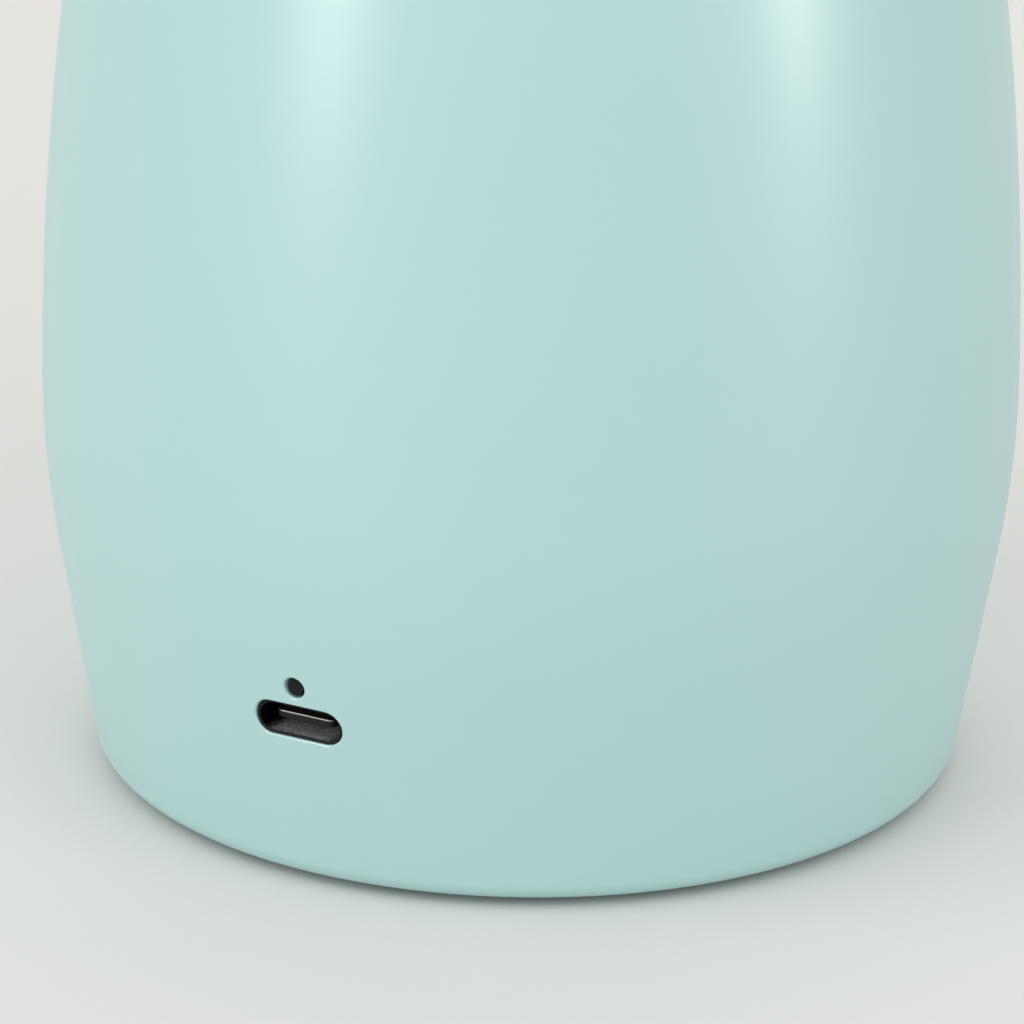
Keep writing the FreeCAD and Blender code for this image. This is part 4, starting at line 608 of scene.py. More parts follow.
def fill_window(shell, corner_of, window, outlines, front, inset):
    """Triangulates the skin in a window around outlines. Returns the corners along each outline."""
    first_column, last_column, first_row, last_row = window
    middle = (first_column + last_column) / 2 * TURN / COLUMNS
    flat, corners = [], []

    def pin(angle, z, corner):
        flat.append(Vector(((angle - middle) * BELLY_RADIUS / MM, z / MM)))
        corners.append(corner)

    frame_line = [(first_row, c) for c in range(first_column, last_column)]
    frame_line += [(r, last_column) for r in range(first_row, last_row)]
    frame_line += [(last_row, c) for c in range(last_column, first_column, -1)]
    frame_line += [(r, first_column) for r in range(last_row, first_row, -1)]
    for row, column in frame_line:
        pin(column * TURN / COLUMNS, rows[row][1], corner_of(row, column))
    loops, edges = [len(frame_line)], []
    for outline in outlines:
        edge = [skin_point(shell, x, z, front, inset) for x, z, *_outward in outline]
        for (angle, corner), (_x, z, *_outward) in zip(edge, outline):
            pin(angle, z, corner)
        loops.append(len(edge))
        edges.append([corner for _angle, corner in edge])
    clear = [widened(outline, KEEP_OFF) for outline in outlines]
    for row in range(min(first_row, last_row) + 1, max(first_row, last_row)):
        for column in range(first_column + 1, last_column):
            angle, z = column * TURN / COLUMNS, rows[row][1]
            if not any(encloses(outline, rows[row][0] * math.sin(angle), z) for outline in clear):
                pin(angle, z, corner_of(row, column))

    borders, start = [], 0
    for count in loops:
        borders += [(start + k, start + (k + 1) % count) for k in range(count)]
        start += count
    filled = geometry.delaunay_2d_cdt(flat, borders, [], 0, 1e-5, True)
    for triangle in filled[2]:
        centre = sum((filled[0][k] for k in triangle), Vector((0, 0))) / 3
        z = centre.y * MM
        x = skin(z, inset)[0] * math.sin(middle + centre.x * MM / BELLY_RADIUS)
        if not any(encloses(outline, x, z) for outline in outlines):
            shell.face([corners[filled[3][k][0]] for k in triangle], flip=bool(inset))
    return edges


# %% Build the housing
LIP_STEPS = 4


def window_round(outlines, front, start, stop):
    """The columns and rows that take in the outlines with a margin of a few millimetres."""
    margin = 3 * MM
    reach = max(x for outline in outlines for x, *_rest in outline) + margin
    low = min(z for outline in outlines for _x, z, *_rest in outline) - margin
    high = max(z for outline in outlines for _x, z, *_rest in outline) + margin
    half = math.ceil(math.asin(reach / BELLY_RADIUS * 1.05) / TURN * COLUMNS)
    inside = [row for row in range(start, stop) if low < rows[row][1] < high]
    middle = 0 if front else COLUMNS // 2
    return middle - half, middle + half, inside[0], inside[-1]


def add_lip(shell, outline, outer_edge, inner_edge, front):
    """Rounds a hole's edge over a quarter circle, then runs its wall through to the inner skin."""
    ring = outer_edge
    for step in range(1, LIP_STEPS + 1):
        turn = math.pi / 2 * step / LIP_STEPS
        grow, sink = LIP_ROUND * (1 - math.sin(turn)), LIP_ROUND * (1 - math.cos(turn))
        deeper = []
        for x, z, across, up in widened(outline, grow):
            outward = Vector((across, 0, up))
            angle, (index, normal) = skin_point(shell, x, z, front, 0)
            shell.points[index] = shell.points[index] - normal * sink
            sideways = (outward - normal * outward.dot(normal)).normalized()
            deeper.append((index, normal * math.cos(turn) - sideways * math.sin(turn)))
        join_rings(shell, ring, deeper, flip=not front)
        ring = deeper
    wall = [(index, Vector((-across, 0, -up))) for (index, _n), (_x, _z, across, up) in zip(ring, outline)]
    far = [(index, corner[1]) for (index, _n), corner in zip(inner_edge, wall)]
    join_rings(shell, wall, far, flip=not front)


def join_rings(shell, near, far, flip=False):
    """Quads between two closed rings of corners."""
    for k in range(len(near)):
        following = (k + 1) % len(near)
        shell.face([near[k], near[following], far[following], far[k]], flip)


def turned_corners(shell, profile):
    """A lookup from row and column to a corner. Rows at the same place share their points."""
    made, same = {}, {}
    for number, (radius, z, *_normal) in enumerate(profile):
        same.setdefault((round(radius, 7), round(z, 7)), number)

    def corner_of(row, column):
        radius, z, across, up = profile[row]
        first, column = same[round(radius, 7), round(z, 7)], column % COLUMNS
        angle = column * TURN / COLUMNS
        if (first, column) not in made:
            made[first, column] = shell.point(turned_place(radius, z, angle))
        return made[first, column], turned_place(across, up, angle)

    return corner_of


def turn_faces(shell, corner_of, profile, windows=()):
    """Quads all round between each row and the next, apart from the windows and where two rows share a place."""
    left_out = {
        (row, column % COLUMNS)
        for first_column, last_column, first_row, last_row in windows
        for row in range(min(first_row, last_row), max(first_row, last_row))
        for column in range(first_column, last_column)
    }
    for row in range(len(profile)):
        after = (row + 1) % len(profile)
        if (Vector(profile[row][:2]) - Vector(profile[after][:2])).length < 1e-7:
            continue
        for column in range(COLUMNS):
            if (row, column) not in left_out:
                places = ((row, column), (row, column + 1), (after, column + 1), (after, column))
                shell.face([corner_of(*place) for place in places])


shell = Shell()
corner_of = turned_corners(shell, rows)
windows = []
for outlines, front in (([port_hole, light_hole], False), ([button_hole], True)):
    outer_window = window_round(outlines, front, outer_start, outer_stop)
    inner_window = window_round(outlines, front, inner_start, inner_stop)
    windows += [outer_window, inner_window]
    lips = [widened(outline, LIP_ROUND) for outline in outlines]
    outer_edges = fill_window(shell, corner_of, outer_window, lips, front, 0)
    first_column, last_column, first_row, last_row = inner_window
    upward = (first_column, last_column, last_row, first_row)
    inner_edges = fill_window(shell, corner_of, upward, outlines, front, WALL)
    for outline, outer_edge, inner_edge in zip(outlines, outer_edges, inner_edges):
        add_lip(shell, outline, outer_edge, inner_edge, front)
turn_faces(shell, corner_of, rows, windows)
housing = shell.build("housing")
housing.data.materials.append(FINISHES["mint_shell"])
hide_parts("base_housing")
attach(housing, "base")
print("housing:", len(housing.data.vertices), "points,", len(housing.data.polygons), "faces")
# %% [markdown]
# ## Charging socket
#
# A USB-C socket is a drawn steel shell with a flat tongue inside. Here its outside and its front edge are painted
# black: a painted shadow for the rim, which lies in shade at the edge of the hole. Only the inside shows steel, so
# that the opening reads as a dark slot with a dull grey floor. The tongue is black resin with rounded corners,
# moulded round a steel plate that shows as a bright line along its front edge. Each piece is one outline carried
# through a few levels, so one helper makes them all.

# %% Carry an outline through a profile


def carry(shell, outline, profile, lay, flip=False):
    """Joins copies of an outline. A profile row is how far it grows, its level, and its normal out and along.

    lay turns (across, up, level) into a place or a direction. Returns the ring of corners at every row."""
    rings, last = [], None
    for grow, level, out, along in profile:
        normals = [lay(across * out, up * out, along) for _u, _v, across, up in outline]
        if last == (grow, level):
            indices = [index for index, _normal in rings[-1]]
        else:
            indices = [shell.point(lay(u, v, level)) for u, v, *_outward in widened(outline, grow)]
        ring = list(zip(indices, normals))
        if rings and last != (grow, level):
            join_rings(shell, rings[-1], ring, flip)
        rings.append(ring)
        last = (grow, level)
    return rings


def close_ring(shell, ring, flip=False):
    """Fills a ring with triangles round its middle."""
    normal = ring[0][1]
    middle = sum((shell.points[index] for index, _normal in ring), Vector((0, 0, 0))) / len(ring)
    hub = (shell.point(middle), normal)
    for k in range(len(ring)):
        shell.face([ring[k], ring[(k + 1) % len(ring)], hub], flip)


def rounding(grow, level, radius, start, stop, steps=5):
    """Profile rows round an edge, whose arc has its centre at (grow, level), with angles from out towards along."""
    turns = [math.radians(angle) for angle in spread(start, stop, steps)]
    return [(grow + radius * math.cos(a), level + radius * math.sin(a), math.cos(a), math.sin(a)) for a in turns]


def finish_piece(shell, name, slot_name, body, *nodes):
    """Builds a mesh with its slot's finish. It rides on a body and stands for CAD nodes, if any are given."""
    piece = shell.build(name)
    piece.data.materials.append(FINISHES[slot_name])
    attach(piece, body)
    if nodes:
        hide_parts(*nodes)
    print(name + ":", len(piece.data.polygons), "faces")
    return piece


def facing_back(u, v, level):
    """Outlines drawn on the rear face: u is X, v is Z and the level is Y."""
    return Vector((u, level, v))


# %% Socket shell
shell_low, shell_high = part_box("usb_shell")
# The black on the rim is painted shadow; the third size here is how far it reaches into the mouth.
SHELL_WALL, EDGE_ROLL, PAINTED_SHADOW_DEPTH = 0.3 * MM, 0.11 * MM, 0.12 * MM
socket_outline = slot_outline(port_size.x, port_size.z, port_centre.z, 14)
mouth = shell_high.y
profile = [(0, shell_low.y, 1, 0), (0, mouth - EDGE_ROLL, 1, 0)]
profile += rounding(-EDGE_ROLL, mouth - EDGE_ROLL, EDGE_ROLL, 15, 90)
profile += rounding(EDGE_ROLL - SHELL_WALL, mouth - EDGE_ROLL, EDGE_ROLL, 90, 180)
profile += [(-SHELL_WALL, mouth - PAINTED_SHADOW_DEPTH, -1, 0)]
painted_shadow_faces = (len(profile) - 2) * len(socket_outline)
profile += [(-SHELL_WALL, shell_low.y, -1, 0), (-SHELL_WALL, shell_low.y, 0, -1)]
socket = Shell()
rings = carry(socket, socket_outline, profile, facing_back, flip=True)
join_rings(socket, rings[-1], [(index, Vector((0, -1, 0))) for index, _normal in rings[0]], flip=True)
socket_shell = finish_piece(socket, "socket_shell", "nickel", "base", "usb_shell")

# %% [markdown]
# The inside is one finish that fades from light grey steel across the flat floor and roof to near black at the
# rounded ends. That fade is painted shade for the curved end walls, which lie in shadow. Specks about 0.25 mm
# across mottle the steel's tone and roughness all over.

# %% Painted shadow on the rim, painted shade at the ends inside


def steel_with_painted_end_shade(lit_half, shaded_half):
    """Steel, light within the first distance of the middle and fully dark beyond the second, in metres along X: painted
    shade for the curved end walls.
    """
    material, tree, shader, place = start_finish("drawn steel, painted shade at the ends", {"Metallic": 1.0})
    side = add(tree, "ShaderNodeSeparateXYZ", {}, {"Vector": place})
    reach = add(tree, "ShaderNodeMath", {"operation": "ABSOLUTE"}, {0: side.outputs["X"]})
    specks = add(tree, "ShaderNodeTexNoise", {"Scale": per_metre(0.25), "Detail": 3.0}, {"Vector": place})
    # Painted shade: the colour darkens towards both rounded ends, where the curved walls lie in shadow.
    unshaded_middle = add(
        tree,
        "ShaderNodeMapRange",
        {"interpolation_type": "SMOOTHSTEP", "From Min": shaded_half, "From Max": lit_half},
        {"Value": reach.outputs["Value"]},
    )
    patchy = add(
        tree,
        "ShaderNodeMapRange",
        {"From Min": 0.35, "From Max": 0.65, "To Min": 0.5},
        {"Value": specks.outputs["Fac"]},
    )
    # The painted shade and the real specks together set how light the steel is.
    unshaded_and_mottled = add(
        tree, "ShaderNodeMath", {"operation": "MULTIPLY"}, {0: unshaded_middle.outputs["Result"], 1: patchy.outputs["Result"]}
    )
    colour = add(
        tree,
        "ShaderNodeMix",
        {"data_type": "RGBA", 6: linear("#1A1A1D"), 7: linear("#F6F3F4")},
        {0: unshaded_and_mottled.outputs["Value"]},
    )
    sheen = add(tree, "ShaderNodeMapRange", {"To Min": 0.4, "To Max": 0.65}, {"Value": specks.outputs["Fac"]})
    tree.links.new(colour.outputs[2], shader.inputs["Base Color"])
    tree.links.new(sheen.outputs["Result"], shader.inputs["Roughness"])
    return material


flat_half = (port_size.x - port_size.z) / 2
# Black paint on the outside and the front edge is painted shadow on the rim; the inside takes the steel with painted
# shade at its ends.
socket_shell.data.materials.clear()
socket_shell.data.materials.append(
    moulded(
        "steel painted black as rim shadow",
        ("#08080A", "#0F0F12"),
        (0.5, 0.65),
        {"IOR": 1.5, "Specular IOR Level": 0.2},
        0.25,
        0.004,
        2,
    )
)
socket_shell.data.materials.append(steel_with_painted_end_shade(flat_half - 0.4 * MM, flat_half + 0.9 * MM))
for face in socket_shell.data.polygons[painted_shadow_faces:]:
    face.material_index = 1
print("faces inside the socket:", len(socket_shell.data.polygons) - painted_shadow_faces)

# %% Tongue with rounded corners
TONGUE_HALF, TONGUE_THICK, CORNER, TONGUE_EDGE = 3.1 * MM, 0.7 * MM, 0.75 * MM, 0.06 * MM
tongue_low, tongue_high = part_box("usb_tongue")
tongue_root = 37.0 * MM


def tongue_outline(half, root, front, corner):
    """(x, y, outward x, outward y) round the tongue seen from above: square at the root, rounded in front."""
    outline = [(half, root, 1, 0)]
    for side, start in ((1, 0), (-1, 90)):
        for angle in spread(math.radians(start), math.radians(start + 90), 8):
            across, forward = math.cos(angle), math.sin(angle)
            outline.append((side * (half - corner) + corner * across, front - corner + corner * forward, across, forward))
    return outline + [(-half, root, -1, 0)]


level = port_centre.z
half_thick = TONGUE_THICK / 2
profile = [(-TONGUE_EDGE, level - half_thick, 0, -1)]
profile += rounding(-TONGUE_EDGE, level - half_thick + TONGUE_EDGE, TONGUE_EDGE, -90, 0, 3)
profile += rounding(-TONGUE_EDGE, level + half_thick - TONGUE_EDGE, TONGUE_EDGE, 0, 90, 3)
profile += [(-TONGUE_EDGE, level + half_thick, 0, 1)]
tongue = Shell()
outline = tongue_outline(TONGUE_HALF, tongue_root, tongue_high.y, CORNER)
rings = carry(tongue, outline, profile, lambda u, v, w: Vector((u, v, w)))
close_ring(tongue, rings[-1])
close_ring(tongue, rings[0], flip=True)
block_outline = slot_outline(tongue_high.x - tongue_low.x, tongue_high.z - tongue_low.z, level, 10)
block_front = 37.35 * MM
profile = [(0, tongue_low.y, 0, -1), (0, tongue_low.y, 1, 0), (0, block_front, 1, 0), (0, block_front, 0, 1)]
rings = carry(tongue, block_outline, profile, facing_back, flip=True)
close_ring(tongue, rings[0])
close_ring(tongue, rings[-1], flip=True)
socket_tongue = finish_piece(tongue, "socket_tongue", "component_black", "base", "usb_tongue")
socket_tongue.data.materials.clear()
socket_tongue.data.materials.append(
    moulded(
        "moulded liquid-crystal polymer, black",
        ("#0B0A0A", "#121010"),
        (0.6, 0.75),
        {"IOR": 1.5, "Specular IOR Level": 0.25},
        0.2,
        0.003,
        1,
    )
)


# %% Plate edge along the front of the tongue, and the contacts on both its faces
plate = Shell()
plate_outline = tongue_outline(TONGUE_HALF - 0.02 * MM, 38 * MM, tongue_high.y + 0.03 * MM, CORNER)
plate_top, plate_thick = level + half_thick - 0.02 * MM, 0.12 * MM
profile = [(0, plate_top - plate_thick, 0, -1), (0, plate_top - plate_thick, 1, 0)]
profile += [(0, plate_top - 0.03 * MM, 1, 0)] + rounding(-0.03 * MM, plate_top - 0.03 * MM, 0.03 * MM, 0, 90, 3)
rings = carry(plate, plate_outline, profile, lambda u, v, w: Vector((u, v, w)))
close_ring(plate, rings[-1])
close_ring(plate, rings[0], flip=True)
tongue_plate = finish_piece(plate, "tongue_plate", "nickel", "base")
tongue_plate.data.materials.clear()
tongue_plate.data.materials.append(
    worked_metal("sheared steel, dull", ("#8F8A82", "#A29D94"), (0.35, 0.5), ALONG_X, 0.15, 0.002)
)

CONTACT_PITCH, CONTACT_HALF, CONTACT_THICK = 0.5 * MM, 0.125 * MM, 0.03 * MM
contacts = Shell()
for side in (1, -1):
    for k in range(12):
        middle = (k - 5.5) * CONTACT_PITCH
        outline = tongue_outline(CONTACT_HALF, 38 * MM, tongue_high.y - 1.2 * MM, 0.1 * MM)
        low = level + side * half_thick - CONTACT_THICK
        profile = [(0, low, 0, -1), (0, low, 1, 0), (0, low + 2 * CONTACT_THICK, 1, 0)]
        profile += [(0, low + 2 * CONTACT_THICK, 0, 1)]
        outline = [(x + middle, y, across, forward) for x, y, across, forward in outline]
        rings = carry(contacts, outline, profile, lambda u, v, w: Vector((u, v, w)))
        close_ring(contacts, rings[-1])
        close_ring(contacts, rings[0], flip=True)
finish_piece(contacts, "socket_contacts", "nickel", "base")
# %% [markdown]
# ## Power button
#
# The button is a white moulded cap. Its face follows the barrel, stands a little proud, and is dished so that a
# finger finds its middle. Round it sits the frosted ring that the lamps light. Both are made flat, with carried
# circles, and are then wrapped onto the skin, normals included. The sign on the button is the plain power sign,
# printed in grey ink: two ribbons that lie in the dish.

# %% Wrap a flat piece onto the skin


def wrap(shell):
    """Bends a piece made on the plane Y = 0 onto the front of the skin. Its Y becomes depth below the skin."""
    turns = []
    for number, place in enumerate(shell.points):
        radius, across, up = skin(place.z)
        angle = math.asin(place.x / radius)
        turns.append(Vector((0, -1, 0)).rotation_difference(turned_place(across, up, angle)))
        shell.points[number] = Vector((place.x, place.y - radius * math.cos(angle), place.z))
    corners = [index for face in shell.faces for index in face]
    shell.normals = [tuple(turns[index] @ Vector(normal)) for index, normal in zip(corners, shell.normals)]


# %% Button with a dished face
BUTTON_RADIUS, BUTTON_PROUD, BUTTON_EDGE, DISH = 9.4 * MM, 0.3 * MM, 0.6 * MM, 0.55 * MM
BUTTON_DEEP = 5.0 * MM
face_radius = BUTTON_RADIUS - BUTTON_EDGE


def dish(reach):
    """Depth of the button's face below the skin at a distance from its middle, and how fast it changes."""
    turn = math.pi * reach / face_radius
    return DISH / 2 * (1 + math.cos(turn)) - BUTTON_PROUD, -DISH / 2 * math.pi / face_radius * math.sin(turn)


profile = [(0, BUTTON_DEEP, 0, 1), (0, BUTTON_DEEP, 1, 0)]
profile += rounding(-BUTTON_EDGE, BUTTON_EDGE - BUTTON_PROUD, BUTTON_EDGE, 0, -90, 6)
for reach in spread(face_radius, 0.3 * MM, 26)[1:]:
    depth, slope = dish(reach)
    profile.append((reach - BUTTON_RADIUS, depth, slope, -1))
button = Shell()
rings = carry(button, slot_outline(2 * BUTTON_RADIUS, 2 * BUTTON_RADIUS, button_centre.z, 48), profile, facing_back)
close_ring(button, rings[-1])
close_ring(button, rings[0], flip=True)
wrap(button)
finish_piece(button, "button_cap", "white_trim", "button", "power_button")

# %% Power sign
SIGN_RADIUS, SIGN_HALF, SIGN_GAP, INK = 2.7 * MM, 0.32 * MM, 38, 0.03 * MM


def ribbon(shell, path):
    """A thin strip with round ends along (x, z) points, lying on the button's face."""
    lengths = [0.0]
    for before, after in zip(path, path[1:]):
        lengths.append(lengths[-1] + (after - before).length)
    edges = []
    for k, place in enumerate(path):
        ahead = (path[min(k + 1, len(path) - 1)] - path[max(k - 1, 0)]).normalized()
        from_end = min(lengths[k], lengths[-1] - lengths[k], SIGN_HALF)
        half = max(math.sqrt(max(SIGN_HALF**2 - (SIGN_HALF - from_end) ** 2, 0)), 0.02 * MM)
        aside = Vector((-ahead.y, ahead.x)) * half
        edges.append((place + aside, place - aside))
    rows_made = []
    for pair in edges:
        row = []
        for u, v in (pair[0], pair[1]):
            depth = dish(math.hypot(u, v))[0] - INK
            row.append((shell.point(Vector((u, depth, button_centre.z + v))), Vector((0, -1, 0))))
        rows_made.append(row)
    for before, after in zip(rows_made, rows_made[1:]):
        shell.face([before[0], before[1], after[1], after[0]])


sign = Shell()
angles = spread(math.radians(90 + SIGN_GAP), math.radians(450 - SIGN_GAP), 64)
ribbon(sign, [Vector((SIGN_RADIUS * math.cos(a), SIGN_RADIUS * math.sin(a))) for a in angles])
ribbon(sign, [Vector((0, height)) for height in spread(0.7 * MM, 3.7 * MM, 24)])
wrap(sign)
power_sign = finish_piece(sign, "power_sign", "white_trim", "button")
power_sign.data.materials.clear()
power_sign.data.materials.append(
    moulded("pad-printed ink, grey", ("#8A9090", "#929898"), (0.45, 0.55), {"IOR": 1.5}, 0.2, 0.002, 3)
)

# %% Frosted ring
RING_INNER, RING_SINK, RING_EDGE, RING_DEEP = 9.6 * MM, 0.1 * MM, 0.3 * MM, 4.0 * MM
ring_span = RING_RADIUS - RING_INNER
profile = [(0, RING_DEEP, 1, 0)] + rounding(-RING_EDGE, RING_SINK + RING_EDGE, RING_EDGE, 0, -90, 5)
profile += rounding(RING_EDGE - ring_span, RING_SINK + RING_EDGE, RING_EDGE, -90, -180, 5)
profile += [(-ring_span, RING_DEEP, -1, 0), (-ring_span, RING_DEEP, 0, 1)]
light_ring = Shell()
ring_circle = slot_outline(2 * RING_RADIUS, 2 * RING_RADIUS, button_centre.z, 48)
rings = carry(light_ring, ring_circle, profile, facing_back)
join_rings(light_ring, rings[-1], [(index, Vector((0, 1, 0))) for index, _normal in rings[0]])
wrap(light_ring)
finish_piece(light_ring, "light_ring", "light_guide", "base", "button_light_ring")
# %% [markdown]
# ## Lid, spout cap and carry loop
#
# These are polypropylene mouldings with generous rounding, because hands and lips touch them. The lid is turned,
# with shallow finger flutes round its skirt and a spout that grows out of its top through a soft fillet. Lugs
# on the top carry the cap and the loop. The flutes are pressed into the finished mesh afterwards, which keeps
# the turned profile simple.

# %% Lid sizes and outlines
lid_low, lid_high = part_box("lid")
cap_low, cap_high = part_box("spout_cap")
loop_low, loop_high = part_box("carry_loop")
LID_RADIUS, LID_TOP, LID_BOTTOM = lid_high.x, 220.0 * MM, lid_low.z
SPOUT_Y, SPOUT_OUTER, SPOUT_BORE, SPOUT_FILLET = -19.0 * MM, 7.6 * MM, 5.4 * MM, 1.1 * MM
CROWN_UNDER, DOME_RADIUS, CEILING, SKIRT_BORE = 217.4 * MM, 27.6 * MM, 211.6 * MM, 33.6 * MM


def circle(radius, y, count):
    """(x, y, outward x, outward y) round a circle, anticlockwise from above."""
    turns = [TURN * k / count for k in range(count)]
    return [(radius * math.cos(a), y + radius * math.sin(a), math.cos(a), math.sin(a)) for a in turns]


def upright(u, v, level):
    """Outlines drawn from above: u is X, v is Y and the level is Z."""
    return Vector((u, v, level))


def sideways(u, v, level):
    """Outlines drawn from the side: u is Y, v is Z and the level is X."""
    return Vector((level, u, v))


def fill_flat(shell, rim, hole, flip=False):
    """Fills the flat area between a rim and a hole in it."""
    flat = [Vector((shell.points[index].x / MM, shell.points[index].y / MM)) for index, _n in rim + hole]
    borders = [(k, (k + 1) % len(rim)) for k in range(len(rim))]
    borders += [(len(rim) + k, len(rim) + (k + 1) % len(hole)) for k in range(len(hole))]
    filled = geometry.delaunay_2d_cdt(flat, borders, [], 0, 1e-5, True)
    corners, inside = rim + hole, [(place.x, place.y) for place in flat[len(rim):]]
    for triangle in filled[2]:
        centre = sum((filled[0][k] for k in triangle), Vector((0, 0))) / 3
        if not encloses(inside, centre.x, centre.y):
            shell.face([corners[filled[3][k][0]] for k in triangle], flip)


# %% Turn the lid round its spout
profile = [(SKIRT_BORE - LID_RADIUS, LID_BOTTOM, 0, -1)]
profile += rounding(-0.5 * MM, LID_BOTTOM + 0.5 * MM, 0.5 * MM, -90, 0)
profile += [(0, level, 1, 0) for level in spread(LID_BOTTOM + 0.5 * MM, LID_TOP - 6.5 * MM, 16)[1:-1]]
profile += rounding(-6.5 * MM, LID_TOP - 6.5 * MM, 6.5 * MM, 0, 90, 16)
lid_shell = Shell()
outside = carry(lid_shell, circle(LID_RADIUS, 0, COLUMNS), profile, upright)
profile = [(-0.0 * MM, CROWN_UNDER, 0, -1)] + rounding(0, CROWN_UNDER - 2.6 * MM, 2.6 * MM, 90, 0)
profile = [(grow, level, -out, -along) for grow, level, out, along in profile]
profile += [(2.6 * MM, CEILING, -1, 0), (2.6 * MM, CEILING, 0, -1)]
profile += [(SKIRT_BORE - DOME_RADIUS + 2.6 * MM, CEILING, 0, -1), (SKIRT_BORE - DOME_RADIUS + 2.6 * MM, CEILING, -1, 0)]
profile += [(SKIRT_BORE - DOME_RADIUS + 2.6 * MM, LID_BOTTOM, -1, 0)]
dome = carry(lid_shell, circle(DOME_RADIUS - 2.6 * MM, 0, COLUMNS), profile, upright)
underside = [(index, Vector((0, 0, -1))) for index, _normal in dome[-1]]
join_rings(lid_shell, underside, outside[0])

profile = [(SPOUT_FILLET, LID_TOP, 0, 1)]
profile += [
    (SPOUT_FILLET * (1 - math.sin(a)), LID_TOP + SPOUT_FILLET * (1 - math.cos(a)), math.sin(a), math.cos(a))
    for a in spread(0, math.pi / 2, 6)[1:]
]
profile += rounding(-0.9 * MM, lid_high.z - 0.9 * MM, 0.9 * MM, 0, 90)
profile += rounding(SPOUT_BORE - SPOUT_OUTER + 0.9 * MM, lid_high.z - 0.9 * MM, 0.9 * MM, 90, 180)
profile += [(SPOUT_BORE - SPOUT_OUTER, CROWN_UNDER, -1, 0)]
spout = carry(lid_shell, circle(SPOUT_OUTER, SPOUT_Y, 72), profile, upright)
fill_flat(lid_shell, outside[-1], spout[0])
spout_end = [(index, Vector((0, 0, -1))) for index, _normal in spout[-1]]
fill_flat(lid_shell, dome[0], spout_end, flip=True)

# %% Finger flutes round the skirt
FLUTES, FLUTE_DEPTH, FLUTE_LOW, FLUTE_HIGH, FLUTE_FADE = 36, 0.4 * MM, 200.4 * MM, 211.5 * MM, 1.6 * MM


def flute(angle, z):
    """How far the flutes press the skirt in at a place."""
    from_ends = min(z - FLUTE_LOW, FLUTE_HIGH - z, FLUTE_FADE)
    fade = 0.5 - 0.5 * math.cos(math.pi * max(from_ends, 0) / FLUTE_FADE)
    return FLUTE_DEPTH * fade * (0.5 - 0.5 * math.cos(FLUTES * angle)) ** 2


STEP = 0.001
corners = [index for face in lid_shell.faces for index in face]
for number, index in enumerate(corners):
    place, normal = lid_shell.points[index], Vector(lid_shell.normals[number])
    reach, angle = math.hypot(place.x, place.y), math.atan2(place.y, place.x)
    if reach > LID_RADIUS - 0.05 * MM and FLUTE_LOW < place.z < FLUTE_HIGH:
        aside = (flute(angle + STEP, place.z) - flute(angle - STEP, place.z)) / (2 * STEP * reach)
        along = (flute(angle, place.z + STEP * MM) - flute(angle, place.z - STEP * MM)) / (2 * STEP * MM)
        tilt = Vector((-math.sin(angle), math.cos(angle), 0)) * aside + Vector((0, 0, along))
        lid_shell.normals[number] = tuple((normal + tilt).normalized())
for number, place in enumerate(lid_shell.points):
    reach, angle = math.hypot(place.x, place.y), math.atan2(place.y, place.x)
    if reach > LID_RADIUS - 0.05 * MM and FLUTE_LOW < place.z < FLUTE_HIGH:
        narrowed = 1 - flute(angle, place.z) / reach
        lid_shell.points[number] = Vector((place.x * narrowed, place.y * narrowed, place.z))

# %% Hinge lugs
CAP_HINGE, LOOP_HINGE, KNUCKLE, LUG_EDGE = (3.0 * MM, 224.0 * MM), (9.0 * MM, 223.0 * MM), 2.6 * MM, 0.45 * MM


def lug_outline(y, z, foot, flare):
    """(y, z, outward y, outward z) round a lug: a round top on a foot that widens towards the lid."""
    outline = [(y + KNUCKLE + flare, foot, 1, 0)]
    for angle in spread(0, math.pi, 14):
        across, up = math.cos(angle), math.sin(angle)
        outline.append((y + KNUCKLE * across, z + KNUCKLE * up, across, up))
    return outline + [(y - KNUCKLE - flare, foot, -1, 0)]


def slab(shell, outline, low, high, edge, lay):
    """A closed slab with rounded edges, from a convex outline carried between two levels."""
    profile = [(-edge, low, 0, -1)] + rounding(-edge, low + edge, edge, -90, 0)
    profile += rounding(-edge, high - edge, edge, 0, 90) + [(-edge, high, 0, 1)]
    rings = carry(shell, outline, profile, lay)
    close_ring(shell, rings[0], flip=True)
    close_ring(shell, rings[-1])


for (y, z), near, far in ((CAP_HINGE, 6.3 * MM, 9.0 * MM), (LOOP_HINGE, 18.9 * MM, 22.2 * MM)):
    for low, high in ((near, far), (-far, -near)):
        slab(lid_shell, lug_outline(y, z, LID_TOP - 0.8 * MM, 0.9 * MM), low, high, LUG_EDGE, sideways)
finish_piece(lid_shell, "lid_moulding", "lid_plastic", "lid", "lid")

# %% Spout cap
CAP_RADIUS, CAP_BORE, CAP_ROOF, CAP_EDGE = 10.0 * MM, 8.3 * MM, 228.2 * MM, 2.2 * MM
cap = Shell()
profile = [(CAP_BORE - CAP_RADIUS, cap_low.z, 0, -1), (-0.4 * MM, cap_low.z, 0, -1)]
profile += rounding(-0.4 * MM, cap_low.z + 0.4 * MM, 0.4 * MM, -90, 0, 4)
profile += rounding(-CAP_EDGE, cap_high.z - 0.25 * MM - CAP_EDGE, CAP_EDGE, 0, 84, 12)
for reach in spread(CAP_RADIUS - CAP_EDGE, 0.3 * MM, 10)[1:]:
    fall = reach / (CAP_RADIUS - CAP_EDGE)
    profile.append((reach - CAP_RADIUS, cap_high.z - 0.25 * MM * fall**2, 0.064 * fall, 1))
rings = carry(cap, circle(CAP_RADIUS, SPOUT_Y, 96), profile, upright)
close_ring(cap, rings[-1])
profile = [(0, CAP_ROOF, 0, -1), (0, CAP_ROOF, -1, 0), (0, cap_low.z, -1, 0)]
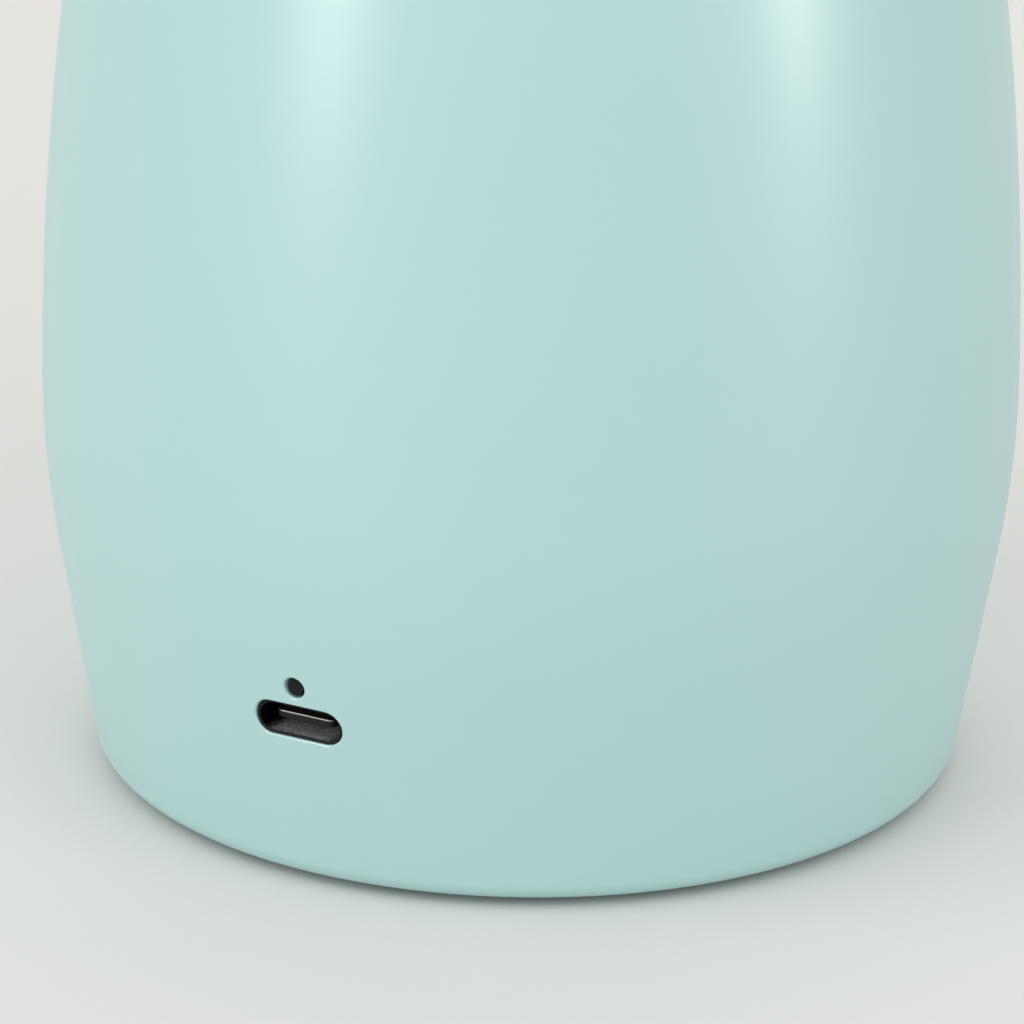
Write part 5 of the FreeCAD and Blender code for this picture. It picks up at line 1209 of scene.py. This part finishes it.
inside = carry(cap, circle(CAP_BORE, SPOUT_Y, 96), profile, upright)
close_ring(cap, inside[0], flip=True)
join_rings(cap, [(index, Vector((0, 0, -1))) for index, _normal in inside[-1]], rings[0])

arm_outline = [(SPOUT_Y + 8.6 * MM, 222.5 * MM, 0, -1)]
for angle in spread(-math.pi / 2, math.pi / 2, 14):
    across, up = math.cos(angle), math.sin(angle)
    arm_outline.append((CAP_HINGE[0] + KNUCKLE * across, CAP_HINGE[1] + KNUCKLE * up, across, up))
arm_outline.append((SPOUT_Y + 8.6 * MM, 225.5 * MM, 0, 1))
slab(cap, arm_outline, -5.8 * MM, 5.8 * MM, 0.5 * MM, sideways)
tab_outline = []
for side, start in ((-1, 180), (1, 270)):
    for angle in spread(math.radians(start), math.radians(start + 90), 8):
        across, forward = math.cos(angle), math.sin(angle)
        tab_outline.append(
            (side * 1.6 * MM + 2.4 * MM * across, cap_low.y + 2.4 * MM + 2.4 * MM * forward, across, forward)
        )
tab_outline += [(4.0 * MM, cap_low.y + 4.0 * MM, 1, 0), (-4.0 * MM, cap_low.y + 4.0 * MM, -1, 0)]
slab(cap, tab_outline, cap_low.z, cap_low.z + 2.0 * MM, 0.6 * MM, upright)
finish_piece(cap, "spout_cap_moulding", "lid_plastic", "cap", "spout_cap")

# %% Carry loop: an outer and an inner line that pair up, joined by quads above and below
LOOP_THICK, LOOP_HALF, LOOP_ROUND = 3.0 * MM, 25.5 * MM, 1.1 * MM


def bent_line(half, back, corner):
    """Half of the loop's outline, from its right hinge round the back to the left one."""
    line = [(half, y, 1, 0) for y in spread(LOOP_HINGE[0], back - corner, 6)[:-1]]
    for side, start in ((1, 0), (-1, 90)):
        for angle in spread(math.radians(start), math.radians(start + 90), 16):
            across, behind = math.cos(angle), math.sin(angle)
            line.append((side * (half - corner) + corner * across, back - corner + corner * behind, across, behind))
    return line + [(-half, y, -1, 0) for y in spread(back - corner, LOOP_HINGE[0], 6)[1:]]


outer_line = bent_line(LOOP_HALF, loop_high.y, 12 * MM)
inner_line = bent_line(LOOP_HALF - LOOP_THICK, loop_high.y - LOOP_THICK, 9 * MM)
inner_line = [(x, y, -across, -behind) for x, y, across, behind in reversed(inner_line)]
low, high = LOOP_HINGE[1] - LOOP_THICK / 2, LOOP_HINGE[1] + LOOP_THICK / 2
profile = [(-LOOP_ROUND, low, 0, -1)] + rounding(-LOOP_ROUND, low + LOOP_ROUND, LOOP_ROUND, -90, 0, 6)
profile += rounding(-LOOP_ROUND, high - LOOP_ROUND, LOOP_ROUND, 0, 90, 6) + [(-LOOP_ROUND, high, 0, 1)]
loop = Shell()
rings = carry(loop, outer_line + inner_line, profile, upright)
count = len(outer_line)
for ring, flip in ((rings[0], True), (rings[-1], False)):
    across_from = list(reversed(ring[count:]))
    for k in range(count - 1):
        loop.face([ring[k], ring[k + 1], across_from[k + 1], across_from[k]], flip)
eye = [(LOOP_HINGE[0] + y * KNUCKLE, LOOP_HINGE[1] + z * KNUCKLE, y, z) for _x, _y, y, z in circle(1, 0, 40)]
for start, stop in ((LOOP_HALF - LOOP_THICK, LOOP_HALF), (-LOOP_HALF, LOOP_THICK - LOOP_HALF)):
    slab(loop, eye, start, stop, 0.5 * MM, sideways)
finish_piece(loop, "loop_moulding", "lid_plastic", "loop", "carry_loop")
